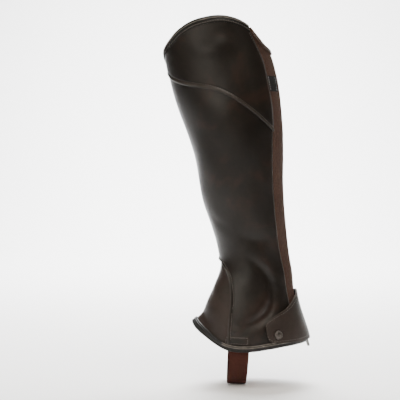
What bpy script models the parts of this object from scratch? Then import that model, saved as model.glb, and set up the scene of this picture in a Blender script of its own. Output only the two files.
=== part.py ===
"""Half chap for a left leg: a filled-out leather tube with an elastic panel, a back zip, a heel tab
that closes over the zip with a press stud, and an elastic strap that passes under the boot.

Metres, +Z up the leg. The toe is towards -X, the heel towards +X, the outer side of the leg is -Y
and the inner side +Y. The origin lies in the middle of the tube at the calf. Places on the tube
are an angle round it in degrees and a height: 0 is the front, 90 the outer side, 180 the back,
and 270 or -90 the inner side.
"""

import math

import bmesh
import bpy
import numpy as np
from mathutils import Matrix

# Wall thicknesses
LEATHER = 0.0015
YOKE_WALL = 0.0013
GUSSET_WALL = 0.0012
LINING_WALL = 0.0010
BINDING_WALL = 0.0010
ELASTIC_WALL = 0.0016
RIB_GROOVE = 0.60
TAPE_WALL = 0.0010
TAB_WALL = 0.0020
STRAP_WALL = 0.0015
LABEL_WALL = 0.0010

# Clearances: between layers, at butted seams (degrees), and from the bindings' folds to what they hold
LAYER_GAP = 0.0005
SEAM_HALF = 0.22
EDGE_INSET = 0.0018
ELASTIC_INSET = 0.0022

# Depths of the layers' outer faces below the leather's face
GUSSET_DEPTH = LEATHER + LAYER_GAP
LINING_DEPTH = LEATHER + 0.0008
LINING_BEHIND_GUSSET = GUSSET_DEPTH + GUSSET_WALL + 0.0007
ELASTIC_DEPTH = 0.0005
TAPE_DEPTH = 0.0015

# Front gusset: a round-topped arch in the leather, and how far the gusset is tucked under its edge
APEX = -0.189
GUSSET_RISE = 0.063
GUSSET_ANGLE = 60.0
GUSSET_TUCK = 9.0
GUSSET_TUCK_UP = 0.009
GUSSET_TOP = -0.183
GUSSET_TOP_DIP = 0.0004
GUSSET_TOP_ZONE = (APEX - 0.016, APEX - 0.004)

# Where the lining steps back behind the gusset: angles off the front, and heights
LINING_STEP_ANGLES = (74.0, 92.0)
LINING_STEP_HEIGHTS = (APEX + 0.013, APEX + 0.031)
LINING_BACK = 0.001

# Bindings: widths, the fold's corners, stations along them, and the heights where their ends lie
TOP_BAND = 0.0085
HEM_BAND = 0.0078
ELASTIC_BAND = 0.0060
FOLD_CORNER = 0.0016
FOLD_ROUND = 0.0005
FOLD_SLACK = 0.0003
TOP_STATIONS = 42
ELASTIC_STATIONS = 9
REAR_HEM_STATIONS = 13
RIM_BY_ZIP = 0.070
RIM_BY_ELASTIC = 0.086
RIM_BAND_END = 0.100
HEM_BY_ZIP = -0.290
HEM_STEP_ANGLES = (GUSSET_ANGLE - 11.0, GUSSET_ANGLE + 3.0)

# Zip: its middle lies this far past the middle of the back, and the leather leaves a window for it
ZIP_PAST_BACK = 0.012
ZIP_WINDOW = 0.016
COIL_WIDTH = 0.0050
COIL_WALL = 0.0018
COIL_DEPTH = 0.0012
TAPE_GAP = 0.0002
TAPE_INSETS = (0.0010, 0.0012)
COIL_INSETS = (0.0040, 0.0040)

# The hem's front lip and the rim's front roll
LIP_OUT = 0.0112
LIP_HEIGHT = 0.014
LIP_SPREAD = 28.0
ROLL_OUT = 0.0005
ROLL_HEIGHT = 0.015
ROLL_SPREAD = 40.0

# Slider, and the loop on it that holds the pull tab
SLIDER_HEIGHT = -0.2800
SLIDER_LENGTH = 0.0105
SLIDER_WIDTH = 0.0086
SLIDER_TOP = 0.0021
SLIDER_TAPER = 0.0011
SLIDER_CLEARANCE = 0.0004
CHANNEL_DEEP = 0.006
LOOP_REACH = 0.0032
LOOP_CROWN = 0.0050
LOOP_SHOULDER = 0.0009
LOOP_RADIUS = 0.0006

# Pull tab: it turns on a bar of its own, between its edge and the window that the loop passes
PULL_LENGTH = 0.0245
PULL_WIDTH = 0.0060
PULL_WALL = 0.0014
PULL_WAIST = 0.13
PIVOT_LIFT = 0.0032
BAR_HALF = 0.0007
PULL_WINDOW = (0.0030, 0.0049)
PULL_HOLE = (0.0024, 0.0060)
PULL_HOLE_UP = 0.0022

# Press stud
STUD_ANGLE = 113.5
STUD_HEIGHT = -0.2795
STUD_RADIUS = 0.0053
STUD_TALL = 0.0023
STUD_GAP = 0.0004
STUD_STEPS = 20

# Stirrup strap
STRAP_WIDTH = 0.025
STRAP_MIDDLE = 0.0095
STRAP_SHIFT = -0.0028
STRAP_BOTTOM = -0.3480
STRAP_STRAIGHT = -0.3020
STRAP_TOP = -0.2865
STRAP_ROWS = 30
STRAP_UPRIGHT = 4
STRAP_COLUMNS = 3

# Yoke: its lift off the leather, and rows from its lower edge to the top band
YOKE_LIFT = 0.0004
YOKE_ROWS = 5

# Side label
LABEL_LOW = 0.0215
LABEL_HIGH = 0.0405
LABEL_SPAN = 19.0

MERGE = 0.00002
SHARP = 40.0
COLLECTION = "half_chap"

# Colours of the real thing, as linear values
LEATHER_BROWN = (0.021, 0.016, 0.013)
YOKE_BROWN = (0.023, 0.017, 0.014)
GUSSET_BROWN = (0.025, 0.019, 0.016)
TAB_BROWN = (0.024, 0.017, 0.014)
BINDING_BROWN = (0.018, 0.016, 0.013)
SUEDE_TAN = (0.42, 0.15, 0.04)
ELASTIC_BROWN = (0.075, 0.032, 0.022)
TAPE_BROWN = (0.060, 0.028, 0.020)
STRAP_BROWN = (0.055, 0.014, 0.010)
LABEL_BLACK = (0.020, 0.020, 0.020)
ZIP_BROWN = (0.022, 0.018, 0.016)
COIL_BROWN = (0.030, 0.024, 0.020)
ZIP_METAL = (0.16, 0.15, 0.14)
STUD_METAL = (0.12, 0.11, 0.10)


def table(names, rows):
    """Columns by name, as arrays."""
    return dict(zip(names, np.array(rows, float).T))


# The leather's face in level sections: front and back places, outer and inner half widths
SECTIONS = table(("height", "front", "back", "outer", "inner"), [
    (-0.3050, -0.0450, 0.0990, 0.0470, 0.0450),
    (-0.2900, -0.0420, 0.0970, 0.0470, 0.0450),
    (-0.2680, -0.0380, 0.0910, 0.0455, 0.0430),
    (-0.2540, -0.0350, 0.0870, 0.0435, 0.0410),
    (-0.2260, -0.0245, 0.0812, 0.0390, 0.0370),
    (-0.2030, -0.0152, 0.0788, 0.0365, 0.0350),
    (-0.1900, -0.0134, 0.0766, 0.0358, 0.0345),
    (-0.1720, -0.0159, 0.0740, 0.0362, 0.0350),
    (-0.1450, -0.0240, 0.0710, 0.0390, 0.0380),
    (-0.1200, -0.0325, 0.0695, 0.0420, 0.0410),
    (-0.0830, -0.0410, 0.0678, 0.0470, 0.0460),
    (-0.0550, -0.0470, 0.0679, 0.0505, 0.0490),
    (-0.0250, -0.0560, 0.0678, 0.0530, 0.0510),
    (0.0000, -0.0650, 0.0656, 0.0545, 0.0520),
    (0.0230, -0.0720, 0.0626, 0.0545, 0.0520),
    (0.0530, -0.0790, 0.0558, 0.0535, 0.0510),
    (0.0760, -0.0838, 0.0492, 0.0520, 0.0500),
    (0.1150, -0.0905, 0.0395, 0.0500, 0.0480)])
WIDEST = 0.54

# Heights of the rim and of the hem's edge round the tube
RIM = table(("angle", "height"), [
    (0, 0.0725), (17, 0.0795), (30, 0.0862), (50, 0.0988), (64, 0.1062), (80, 0.1112),
    (96, 0.1130), (110, 0.1110), (121, 0.1072), (132, 0.1005), (143, 0.0885), (153, 0.0800),
    (166, 0.0763), (190, 0.0748), (220, 0.0710), (255, 0.0650), (280, 0.0595), (308, 0.0568),
    (330, 0.0585), (345, 0.0635)])
HEM = table(("angle", "height"), [
    (0, -0.2668), (15, -0.2734), (30, -0.2828), (42, -0.2906), (55, -0.2975), (70, -0.3010),
    (84, -0.3005), (100, -0.2978), (120, -0.2950), (150, -0.2932), (180, -0.2932),
    (210, -0.2932), (240, -0.2950), (260, -0.2978), (276, -0.3005), (290, -0.3010),
    (305, -0.2975), (318, -0.2906), (330, -0.2828), (345, -0.2734)])

# Angles of the long seams: the leather's join on the inner front, and the elastic's front edge
SEAMS = table(("height", "inner_front", "elastic"), [
    (-0.300, -80, 146.5), (-0.272, -78, 146.0), (-0.246, -74, 145.0), (-0.224, -63, 143.0),
    (-0.201, -47, 138.5), (-0.175, -43, 134.8), (-0.136, -37, 133.5), (-0.088, -35, 133.5),
    (-0.030, -36, 137.5), (0.000, -39, 139.3), (0.030, -41, 139.0), (0.055, -42, 139.5),
    (0.067, -42, 137.5), (0.080, -42, 134.0), (0.095, -42, 129.8), (0.110, -42, 129.0)])

# Lower edge of the yoke that lies over the leather
YOKE = table(("angle", "height"), [
    (-32, 0.0470), (-15, 0.0470), (0, 0.0445), (10, 0.0410), (18, 0.0367), (30, 0.0320),
    (46, 0.0273), (62, 0.0243), (80, 0.0182), (88, 0.0127), (97, 0.0055), (107, -0.0030),
    (118, -0.0130), (131, -0.0238), (141, -0.0310)])
YOKE_SLIVER = 0.0018

# Creases at the ankle: soft troughs that run along these points
OUTER_CREASE = table(("angle", "height", "depth"), [
    (90, -0.176, 0.0), (103, -0.191, 0.0022), (111, -0.210, 0.0034), (112, -0.231, 0.0034),
    (103, -0.248, 0.0032), (89, -0.2575, 0.0026), (74, -0.264, 0.0)])
INNER_CREASE = table(("angle", "height", "depth"), [
    (-96, -0.180, 0.0), (-108, -0.197, 0.0024), (-114, -0.217, 0.0034), (-110, -0.238, 0.0034),
    (-97, -0.253, 0.0028), (-80, -0.262, 0.0)])
CREASE_REACH = 0.0078
CREASE_STEPS = 25
ANKLE_PER_DEGREE = 0.00082

# Heel tab: its edges, and how far its inner face stands off the leather's face, top and bottom
TAB = table(("angle", "upper", "lower", "off_top", "off_bottom"), [
    (101.0, -0.2705, -0.2790, 0.0006, 0.0011), (102.3, -0.2662, -0.2850, 0.0006, 0.0015),
    (105.0, -0.2630, -0.2880, 0.0006, 0.0018), (109.0, -0.2603, -0.2890, 0.0006, 0.0020),
    (115.0, -0.2563, -0.2895, 0.0006, 0.0021), (122.0, -0.2530, -0.2896, 0.0006, 0.0022),
    (130.0, -0.2497, -0.2897, 0.0007, 0.0022), (140.0, -0.2448, -0.2899, 0.0009, 0.0023),
    (150.0, -0.2400, -0.2901, 0.0011, 0.0025), (160.0, -0.2355, -0.2902, 0.0013, 0.0028),
    (172.0, -0.2312, -0.2905, 0.0015, 0.0032), (182.0, -0.2292, -0.2908, 0.0019, 0.0038),
    (189.0, -0.2290, -0.2910, 0.0027, 0.0056), (195.5, -0.2292, -0.2910, 0.0034, 0.0070),
    (203.0, -0.2300, -0.2910, 0.0030, 0.0064), (213.0, -0.2312, -0.2904, 0.0017, 0.0037),
    (223.0, -0.2328, -0.2890, 0.0007, 0.0025), (233.0, -0.2345, -0.2845, 0.0006, 0.0012)])
TAB_ROWS = 6

# Press stud in section, from the middle of its dome out to its foot: shares of its radius and height
STUD_PROFILE = table(("out", "up"), [
    (0.00, 0.94), (0.40, 0.90), (0.68, 0.72), (0.76, 0.86), (0.86, 0.90), (0.97, 0.66),
    (1.00, 0.34), (0.94, 0.00), (0.00, 0.00)])

# Rows of the long panels: shares of the way from the gusset's apex down to the hem, then of the
# way from the apex up to the rim, on the leather and on what lies under it
ROWS_BELOW = (1.0, 0.97, 0.94, 0.90, 0.85, 0.78, 0.68, 0.56, 0.44, 0.32, 0.21, 0.115, 0.045,
              0.011, 0.0)
ROWS_ABOVE = (0.02, 0.05, 0.10, 0.17, 0.25, 0.34, 0.43, 0.52, 0.61, 0.70, 0.79, 0.87, 0.93,
              0.965, 1.0)
FEW_ROWS_ABOVE = (0.02, 0.05, 0.09, 0.16, 0.26, 0.40, 0.56, 0.74, 0.92, 0.96, 1.0)
OUTER_COLUMNS = 18
STRIP_COLUMNS = 4
INNER_COLUMNS = 12
LINING_COLUMNS = (8, 14, 7)
GUSSET_COLUMNS = 14
RIBS = 10
SLOPE_STEP = 0.5
CLIMB_SAMPLES = 30
CLIMB_REACH = 0.022


def smooth(at, knots, values):
    """Cubic through the table's points, with each knot's slope taken from its neighbours."""
    at = np.clip(np.asarray(at, float), knots[0], knots[-1])
    slopes = np.gradient(values, knots)
    cell = np.clip(np.searchsorted(knots, at) - 1, 0, len(knots) - 2)
    span = knots[cell + 1] - knots[cell]
    t = (at - knots[cell]) / span
    start = values[cell] * (1 + 2 * t) * (1 - t) ** 2 + span * slopes[cell] * t * (1 - t) ** 2
    end = values[cell + 1] * t * t * (3 - 2 * t) - span * slopes[cell + 1] * t * t * (1 - t)
    return start + end


def around(at, columns):
    """The height that a closed table gives at each angle."""
    knots = np.concatenate([columns["angle"] + turn for turn in (-360.0, 0.0, 360.0)])
    return smooth(at, knots, np.tile(columns["height"], 3))


def ramp(value, low, high):
    """0 below low, 1 above high, and a soft S between."""
    t = np.clip((np.asarray(value, float) - low) / (high - low), 0.0, 1.0)
    return t * t * (3 - 2 * t)


def wrapped(angle):
    """The same angle between -180 and 180."""
    return (np.asarray(angle, float) + 180.0) % 360.0 - 180.0


def section(height):
    """Middle, front and back half depths, outer and inner half widths at a height."""
    front, back, outer, inner = (smooth(height, SECTIONS["height"], SECTIONS[name])
                                 for name in ("front", "back", "outer", "inner"))
    middle = front + WIDEST * (back - front)
    return middle, middle - front, back - middle, outer, inner


def crease_depth(angle, height):
    """Depth of the nearest crease, falling away as a bell across it."""
    deepest = np.zeros(np.broadcast(angle, height).shape)
    for crease in (OUTER_CREASE, INNER_CREASE):
        steps = np.linspace(0, len(crease["angle"]) - 1, CREASE_STEPS)
        knots = np.arange(len(crease["angle"]), dtype=float)
        for step in steps:
            away_round = (wrapped(angle) - smooth(step, knots, crease["angle"])) * ANKLE_PER_DEGREE
            away_up = height - smooth(step, knots, crease["height"])
            bell = np.exp(-(away_round ** 2 + away_up ** 2) / CREASE_REACH ** 2)
            deepest = np.maximum(deepest, max(smooth(step, knots, crease["depth"]), 0.0) * bell)
    return deepest


def face(angle, height):
    """The leather's face: a two-part ellipse with the hem's lip, the rim's roll and the creases."""
    angle, height = np.broadcast_arrays(np.asarray(angle, float), np.asarray(height, float))
    middle, front, back, outer, inner = section(height)
    cosine, sine = np.cos(np.radians(angle)), np.sin(np.radians(angle))
    depth = np.where(cosine > 0, front, back)
    width = np.where(sine > 0, outer, inner)
    off_front = wrapped(angle)
    above_hem = np.clip((height - around(angle, HEM)) / LIP_HEIGHT, -0.2, 1.0)
    below_rim = np.clip((around(angle, RIM) - height) / ROLL_HEIGHT, -0.2, 1.0)
    out = LIP_OUT * (1 - above_hem) ** 2 * np.exp(-(off_front / LIP_SPREAD) ** 2)
    out = out + ROLL_OUT * (1 - below_rim) ** 2 * np.exp(-(off_front / ROLL_SPREAD) ** 2)
    out = out - crease_depth(angle, height)
    normal = np.stack([-cosine / depth, -sine / width], -1)
    normal = normal / np.linalg.norm(normal, axis=-1, keepdims=True)
    x = middle - depth * cosine + out * normal[..., 0]
    y = -width * sine + out * normal[..., 1]
    return np.stack([x, y, height], -1)


def directions(angle, height):
    """Unit vectors at a place on the face: backwards round the tube, up it, and out of it."""
    half, rise = SLOPE_STEP, 0.0005
    across = face(angle + half, height) - face(angle - half, height)
    up = face(angle, height + rise) - face(angle, height - rise)
    out = np.cross(across, up)
    up = up / np.linalg.norm(up, axis=-1, keepdims=True)
    out = out / np.linalg.norm(out, axis=-1, keepdims=True)
    return np.cross(up, out), up, out


def lifted(angle, height, lift):
    """A point that stands lift off the leather's face, or under it where lift is negative."""
    lift = np.asarray(lift, float)
    return face(angle, height) + directions(angle, height)[2] * lift[..., None]


def climb(angle, start, distance):
    """Height reached by going distance up the face from start."""
    angle, start, distance = np.broadcast_arrays(angle, start, distance)
    steps = np.linspace(0.0, CLIMB_REACH, CLIMB_SAMPLES)
    heights = start[..., None] + steps
    path = face(angle[..., None], heights)
    travelled = np.linalg.norm(np.diff(path, axis=-2), axis=-1).cumsum(-1)
    travelled = np.concatenate([np.zeros(travelled.shape[:-1] + (1,)), travelled], -1)
    flat = [np.interp(d, t, h) for d, t, h in zip(distance.ravel(),
                                                  travelled.reshape(-1, CLIMB_SAMPLES),
                                                  heights.reshape(-1, CLIMB_SAMPLES))]
    return np.array(flat).reshape(distance.shape)


def past_back(height, distance):
    """Angle that lies distance round the inner side from the middle of the back."""
    height = np.asarray(height, float)
    sweep = np.linspace(180.0, 250.0, 71)
    path = face(sweep, height[..., None] + 0 * sweep)
    travelled = np.linalg.norm(np.diff(path, axis=-2), axis=-1).cumsum(-1)
    travelled = np.concatenate([np.zeros(travelled.shape[:-1] + (1,)), travelled], -1)
    flat = [np.interp(distance, row, sweep) for row in travelled.reshape(-1, len(sweep))]
    return np.array(flat).reshape(height.shape)


def zip_side(height, side):
    """Angle of the zip window's edge: side -1 is the elastic's, 1 the inner leather's."""
    return past_back(height, ZIP_PAST_BACK + side * ZIP_WINDOW / 2)


def seam(name, height):
    return smooth(height, SEAMS["height"], SEAMS[name])


def arch(height, half_angle, rise):
    """Half angle of a round-topped arch that springs from the gusset's straight sides."""
    share = np.clip((height - (APEX - GUSSET_RISE)) / rise, 0.0, 1.0)
    return half_angle * np.sqrt(1.0 - share ** 2)


def front_edge(height, side):
    """Edge of the leather beside the gusset, or the front's middle line above its apex."""
    open_angle = arch(height, GUSSET_ANGLE, GUSSET_RISE) + SEAM_HALF
    return np.where(height < APEX - 1e-6, side * open_angle, 0.0)


def top_fall(angle, width):
    """Height at which a band of that width below the rim ends, measured square to the rim."""
    step = 2.0
    rise = around(angle + step, RIM) - around(angle - step, RIM)
    run = face(angle + step, around(angle, RIM)) - face(angle - step, around(angle, RIM))
    slope = rise / np.linalg.norm(run, axis=-1)
    return around(angle, RIM) - width * np.sqrt(1 + slope ** 2)


def lining_depth(angle, height):
    """The lining runs just under the leather and dips behind the gusset."""
    behind = 1 - ramp(np.abs(wrapped(angle)), *LINING_STEP_ANGLES)
    behind = behind * (1 - ramp(height, *LINING_STEP_HEIGHTS))
    return LINING_DEPTH + (LINING_BEHIND_GUSSET - LINING_DEPTH) * behind


def row_height(t, low, high, rows_above):
    """Height on a panel's row: packed towards the hem, the apex and the rim."""
    levels = [-share for share in ROWS_BELOW] + list(rows_above)
    level = np.interp(t * (len(levels) - 1), np.arange(len(levels)), levels)
    return APEX + np.where(level < 0, level * (APEX - low), level * (high - APEX))


def panel_rows(rows_above):
    return len(ROWS_BELOW) - 1 + len(rows_above)


def long_panel(left, right, depth, rows_above=ROWS_ABOVE, low_inset=EDGE_INSET,
               high_inset=EDGE_INSET):
    """Surface from hem to rim between two edges, each an angle by height."""
    def at(s, t):
        bottom, top = np.full(s.shape, -0.295), np.full(s.shape, 0.085)
        for _ in range(4):
            angle_low = left(bottom) + (right(bottom) - left(bottom)) * s
            angle_high = left(top) + (right(top) - left(top)) * s
            bottom = climb(angle_low, around(angle_low, HEM), low_inset)
            top = around(angle_high, RIM) - high_inset
        height = row_height(t, bottom, top, rows_above)
        angle = left(height) + (right(height) - left(height)) * s
        return lifted(angle, height, -depth(angle, height))
    return at


def level_depth(depth):
    return lambda angle, height: np.full(np.shape(angle), depth)


def finish(name, colour, roughness, metallic=0.0):
    material = bpy.data.materials.new(name)
    material.use_nodes = True
    shader = material.node_tree.nodes["Principled BSDF"]
    shader.inputs["Base Color"].default_value = (*colour, 1.0)
    shader.inputs["Roughness"].default_value = roughness
    shader.inputs["Metallic"].default_value = metallic
    material.diffuse_color = (*colour, 1.0)
    return material


def add_object(name, mesh, material):
    mesh.shade_smooth()
    mesh.set_sharp_from_angle(angle=math.radians(SHARP))
    mesh.materials.append(material)
    thing = bpy.data.objects.new(name, mesh)
    bpy.data.collections[COLLECTION].objects.link(thing)
    return thing


def wall(name, patches, thickness, material, outward=False, share=None):
    """Cloth: grids moved onto their surfaces, joined where they meet, and given a thickness.

    Each patch is its columns, its rows and a function of two shares. The wall grows inwards from
    the surface, or outwards from it. share gives the part of the thickness at two shares.
    """
    mesh_edit = bmesh.new()
    weights = []
    for columns, rows, surface in patches:
        made = bmesh.ops.create_grid(mesh_edit, x_segments=columns, y_segments=rows, size=0.5)
        places = np.array([vertex.co[:2] for vertex in made["verts"]]) + 0.5
        points = surface(places[:, 0], places[:, 1])
        for vertex, point in zip(made["verts"], points):
            vertex.co = point
        if share:
            weights.extend(share(places[:, 0], places[:, 1]))
    if len(patches) > 1:
        bmesh.ops.remove_doubles(mesh_edit, verts=mesh_edit.verts, dist=MERGE)
    mesh = bpy.data.meshes.new(name)
    mesh_edit.to_mesh(mesh)
    mesh_edit.free()
    thing = add_object(name, mesh, material)
    solid = thing.modifiers.new("thickness", "SOLIDIFY")
    solid.thickness = thickness
    solid.offset = 1.0 if outward else -1.0
    solid.use_even_offset = True
    if share:
        group = thing.vertex_groups.new(name="thickness")
        for index, weight in enumerate(weights):
            group.add([index], float(weight), "REPLACE")
        solid.vertex_group = group.name
    return thing


def fold_profile(outer, inner, width, legs):
    """A binding's fold in section, from one free edge round to the other.

    Each point is its place off the face and its distance from the cloth's edge.
    """
    down = [(outer, width * share) for share in legs]
    turn = [(outer, FOLD_CORNER), (outer - FOLD_ROUND, BINDING_WALL),
            (inner + FOLD_ROUND, BINDING_WALL), (inner, FOLD_CORNER)]
    return down + turn + [(inner, width * share) for share in reversed(legs)]


def fold_surface(angles, point_of, outer, inner, width, legs):
    """Surface of a binding: a fold carried along its stations."""
    def at(s, t):
        angle = np.interp(s * (len(angles) - 1), np.arange(len(angles)), angles)
        count = len(fold_profile(0, 0, width, legs))
        step = np.rint(t * (count - 1)).astype(int)
        profile = np.array([fold_profile(o, i, width, legs)
                            for o, i in zip(outer(angle), inner(angle))])
        place = profile[np.arange(len(step)), step]
        return lifted(angle, point_of(angle, place[:, 1]), place[:, 0])
    return at


def top_binding(material):
    """Folded leather over the rim, from the elastic round the front to the zip's inner side."""
    start = float(zip_side(RIM_BY_ZIP, 1)) - 360.0
    end = float(seam("elastic", RIM_BAND_END)) - SEAM_HALF
    angles = np.linspace(start, end, TOP_STATIONS + 1)
    inner = -(LINING_DEPTH + LINING_WALL + LAYER_GAP + FOLD_SLACK)
    surface = fold_surface(angles, top_fall, lambda a: 0 * a + LAYER_GAP, lambda a: 0 * a + inner,
                           TOP_BAND, (1.0,))
    return wall("top_binding", [(TOP_STATIONS, 5, surface)], BINDING_WALL, material,
                outward=True)


def elastic_top_binding(material):
    """Ribbed tape folded over the elastic's top edge."""
    start = float(seam("elastic", RIM_BY_ELASTIC)) + SEAM_HALF
    end = float(zip_side(RIM_BY_ZIP, -1)) - SEAM_HALF
    angles = np.linspace(start, end, ELASTIC_STATIONS + 1)
    outer = LAYER_GAP - ELASTIC_DEPTH
    inner = -(ELASTIC_DEPTH + ELASTIC_WALL + LAYER_GAP)
    surface = fold_surface(angles, top_fall, lambda a: 0 * a + outer, lambda a: 0 * a + inner,
                           ELASTIC_BAND, (1.0,))
    return wall("elastic_top_binding", [(ELASTIC_STATIONS, 5, surface)], BINDING_WALL, material,
                outward=True)


def hem_binding(material):
    """Folded leather round the hem, from the zip's inner side by the front to its outer side."""
    start = float(zip_side(HEM_BY_ZIP, 1)) - 360.0
    end = float(zip_side(HEM_BY_ZIP, -1))
    side = GUSSET_ANGLE + GUSSET_TUCK
    angles = np.concatenate([np.linspace(start, -side, LINING_COLUMNS[0] + 1)[:-1],
                             np.linspace(-side, side, GUSSET_COLUMNS + 1),
                             np.linspace(side, end, REAR_HEM_STATIONS + 1)[1:]])

    def outer(angle):
        on_gusset = 1 - ramp(np.abs(angle), *HEM_STEP_ANGLES)
        return LAYER_GAP - GUSSET_DEPTH * on_gusset

    def inner(angle):
        return -(lining_depth(angle, HEM_BY_ZIP) + LINING_WALL + LAYER_GAP + FOLD_SLACK / 3)

    def place(angle, distance):
        return climb(angle, around(angle, HEM), distance)

    fold = fold_surface(angles, place, outer, inner, HEM_BAND, (1.0, 0.55))

    def from_inside(s, t):
        return fold(s, 1.0 - t)

    return wall("hem_binding", [(len(angles) - 1, 7, from_inside)], BINDING_WALL, material,
                outward=True)


def outer_panel(material):
    """Smooth leather from the inner front round the outer side, slit for the gusset."""
    rows = panel_rows(ROWS_ABOVE)
    depth = level_depth(0.0)
    broad = long_panel(lambda h: front_edge(h, 1), lambda h: seam("elastic", h) - SEAM_HALF, depth)
    strip = long_panel(lambda h: seam("inner_front", h) + SEAM_HALF, lambda h: front_edge(h, -1),
                       depth)
    return wall("outer_panel", [(OUTER_COLUMNS, rows, broad), (STRIP_COLUMNS, rows, strip)],
                LEATHER, material)


def inner_panel(material):
    rows = panel_rows(ROWS_ABOVE)
    surface = long_panel(lambda h: zip_side(h, 1),
                         lambda h: 360 + seam("inner_front", h) - SEAM_HALF, level_depth(0.0))
    return wall("inner_panel", [(INNER_COLUMNS, rows, surface)], LEATHER, material)


def lining(material):
    """Suede inside the leather, from the zip's inner side round the front to the elastic."""
    rows = panel_rows(FEW_ROWS_ABOVE)
    side = GUSSET_ANGLE + GUSSET_TUCK
    edges = [lambda h: past_back(h, ZIP_PAST_BACK + ZIP_WINDOW / 2 + LINING_BACK) - 360,
             lambda h: 0 * h - side,
             lambda h: 0 * h + side,
             lambda h: seam("elastic", h) - 3 * SEAM_HALF]
    patches = [(columns, rows, long_panel(left, right, lining_depth, FEW_ROWS_ABOVE))
               for columns, left, right in zip(LINING_COLUMNS, edges, edges[1:])]
    return wall("lining", patches, LINING_WALL, material)


def gusset(material):
    """Soft leather over the instep, tucked under the leather's edges."""
    def at(s, t):
        side = 2 * s - 1
        level = -np.interp(t * (len(ROWS_BELOW) - 1), np.arange(len(ROWS_BELOW)), ROWS_BELOW)
        low_angle = side * (GUSSET_ANGLE + GUSSET_TUCK)
        low = climb(low_angle, around(low_angle, HEM), EDGE_INSET)
        height = GUSSET_TOP + level * (GUSSET_TOP - low)
        angle = side * arch(height, GUSSET_ANGLE + GUSSET_TUCK, GUSSET_RISE + GUSSET_TUCK_UP)
        return lifted(angle, height,
                      -GUSSET_DEPTH - GUSSET_TOP_DIP * ramp(height, *GUSSET_TOP_ZONE))
    return wall("gusset", [(GUSSET_COLUMNS, len(ROWS_BELOW) - 1, at)], GUSSET_WALL, material)


def yoke(material):
    """Leather overlay round the top, with its lower edge sweeping down to the elastic."""
    def rise(angle, t):
        low = smooth(angle, YOKE["angle"], YOKE["height"])
        high = np.maximum(top_fall(angle, TOP_BAND + LAYER_GAP), low + YOKE_SLIVER)
        return low + (high - low) * t

    def broad(s, t):
        angle = np.zeros(s.shape)
        for _ in range(6):
            angle = (seam("elastic", rise(angle, t)) - SEAM_HALF) * s
        return lifted(angle, rise(angle, t), np.full(s.shape, YOKE_LIFT))

    def front(s, t):
        angle = np.zeros(s.shape)
        for _ in range(6):
            edge = seam("inner_front", rise(angle, t)) + SEAM_HALF
            angle = edge * (1 - s) * (STRIP_COLUMNS - 1) / STRIP_COLUMNS
        return lifted(angle, rise(angle, t), np.full(s.shape, YOKE_LIFT))

    return wall("yoke", [(OUTER_COLUMNS, YOKE_ROWS, broad), (STRIP_COLUMNS - 1, YOKE_ROWS, front)],
                YOKE_WALL, material, outward=True)


def elastic_panel(material):
    """Elastic beside the zip, ribbed along its length outside and plain inside."""
    rows = panel_rows(ROWS_ABOVE)
    surface = long_panel(lambda h: seam("elastic", h) + SEAM_HALF,
                         lambda h: zip_side(h, -1),
                         level_depth(ELASTIC_DEPTH + ELASTIC_WALL), high_inset=ELASTIC_INSET)

    def rib(s, t):
        crest = np.rint(s * 2 * RIBS).astype(int) % 2
        return RIB_GROOVE + (1 - RIB_GROOVE) * crest

    return wall("elastic_panel", [(2 * RIBS, rows, surface)], ELASTIC_WALL, material,
                outward=True, share=rib)


def zip_strip(name, start, end, depth, thickness, material, insets, outward):
    """One of the zip's long strips, between two distances past the middle of the back."""
    rows = panel_rows(FEW_ROWS_ABOVE)
    surface = long_panel(lambda h: past_back(h, start), lambda h: past_back(h, end),
                         level_depth(depth), FEW_ROWS_ABOVE, *insets)
    return wall(name, [(2, rows, surface)], thickness, material, outward=outward)


def heel_tab(material):
    """Leather tab sewn on the inner side, wrapped over the zip's end and closed by the stud."""
    columns = len(TAB["angle"]) - 1

    def at(s, t):
        column = s * columns
        angle, upper, lower, off_top, off_bottom = (
            np.interp(column, np.arange(columns + 1), TAB[name])
            for name in ("angle", "upper", "lower", "off_top", "off_bottom"))
        height = lower + (upper - lower) * t
        off = off_bottom + (off_top - off_bottom) * t
        return lifted(angle, height, off)

    return wall("heel_tab", [(columns, TAB_ROWS, at)], TAB_WALL, material, outward=True)


def label(material):
    def at(s, t):
        height = LABEL_LOW + (LABEL_HIGH - LABEL_LOW) * t
        angle = seam("elastic", height) + 2 * SEAM_HALF + LABEL_SPAN * s
        return lifted(angle, height, np.full(s.shape, 0.0))
    return wall("side_label", [(6, 2, at)], LABEL_WALL, material, outward=True)


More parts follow.
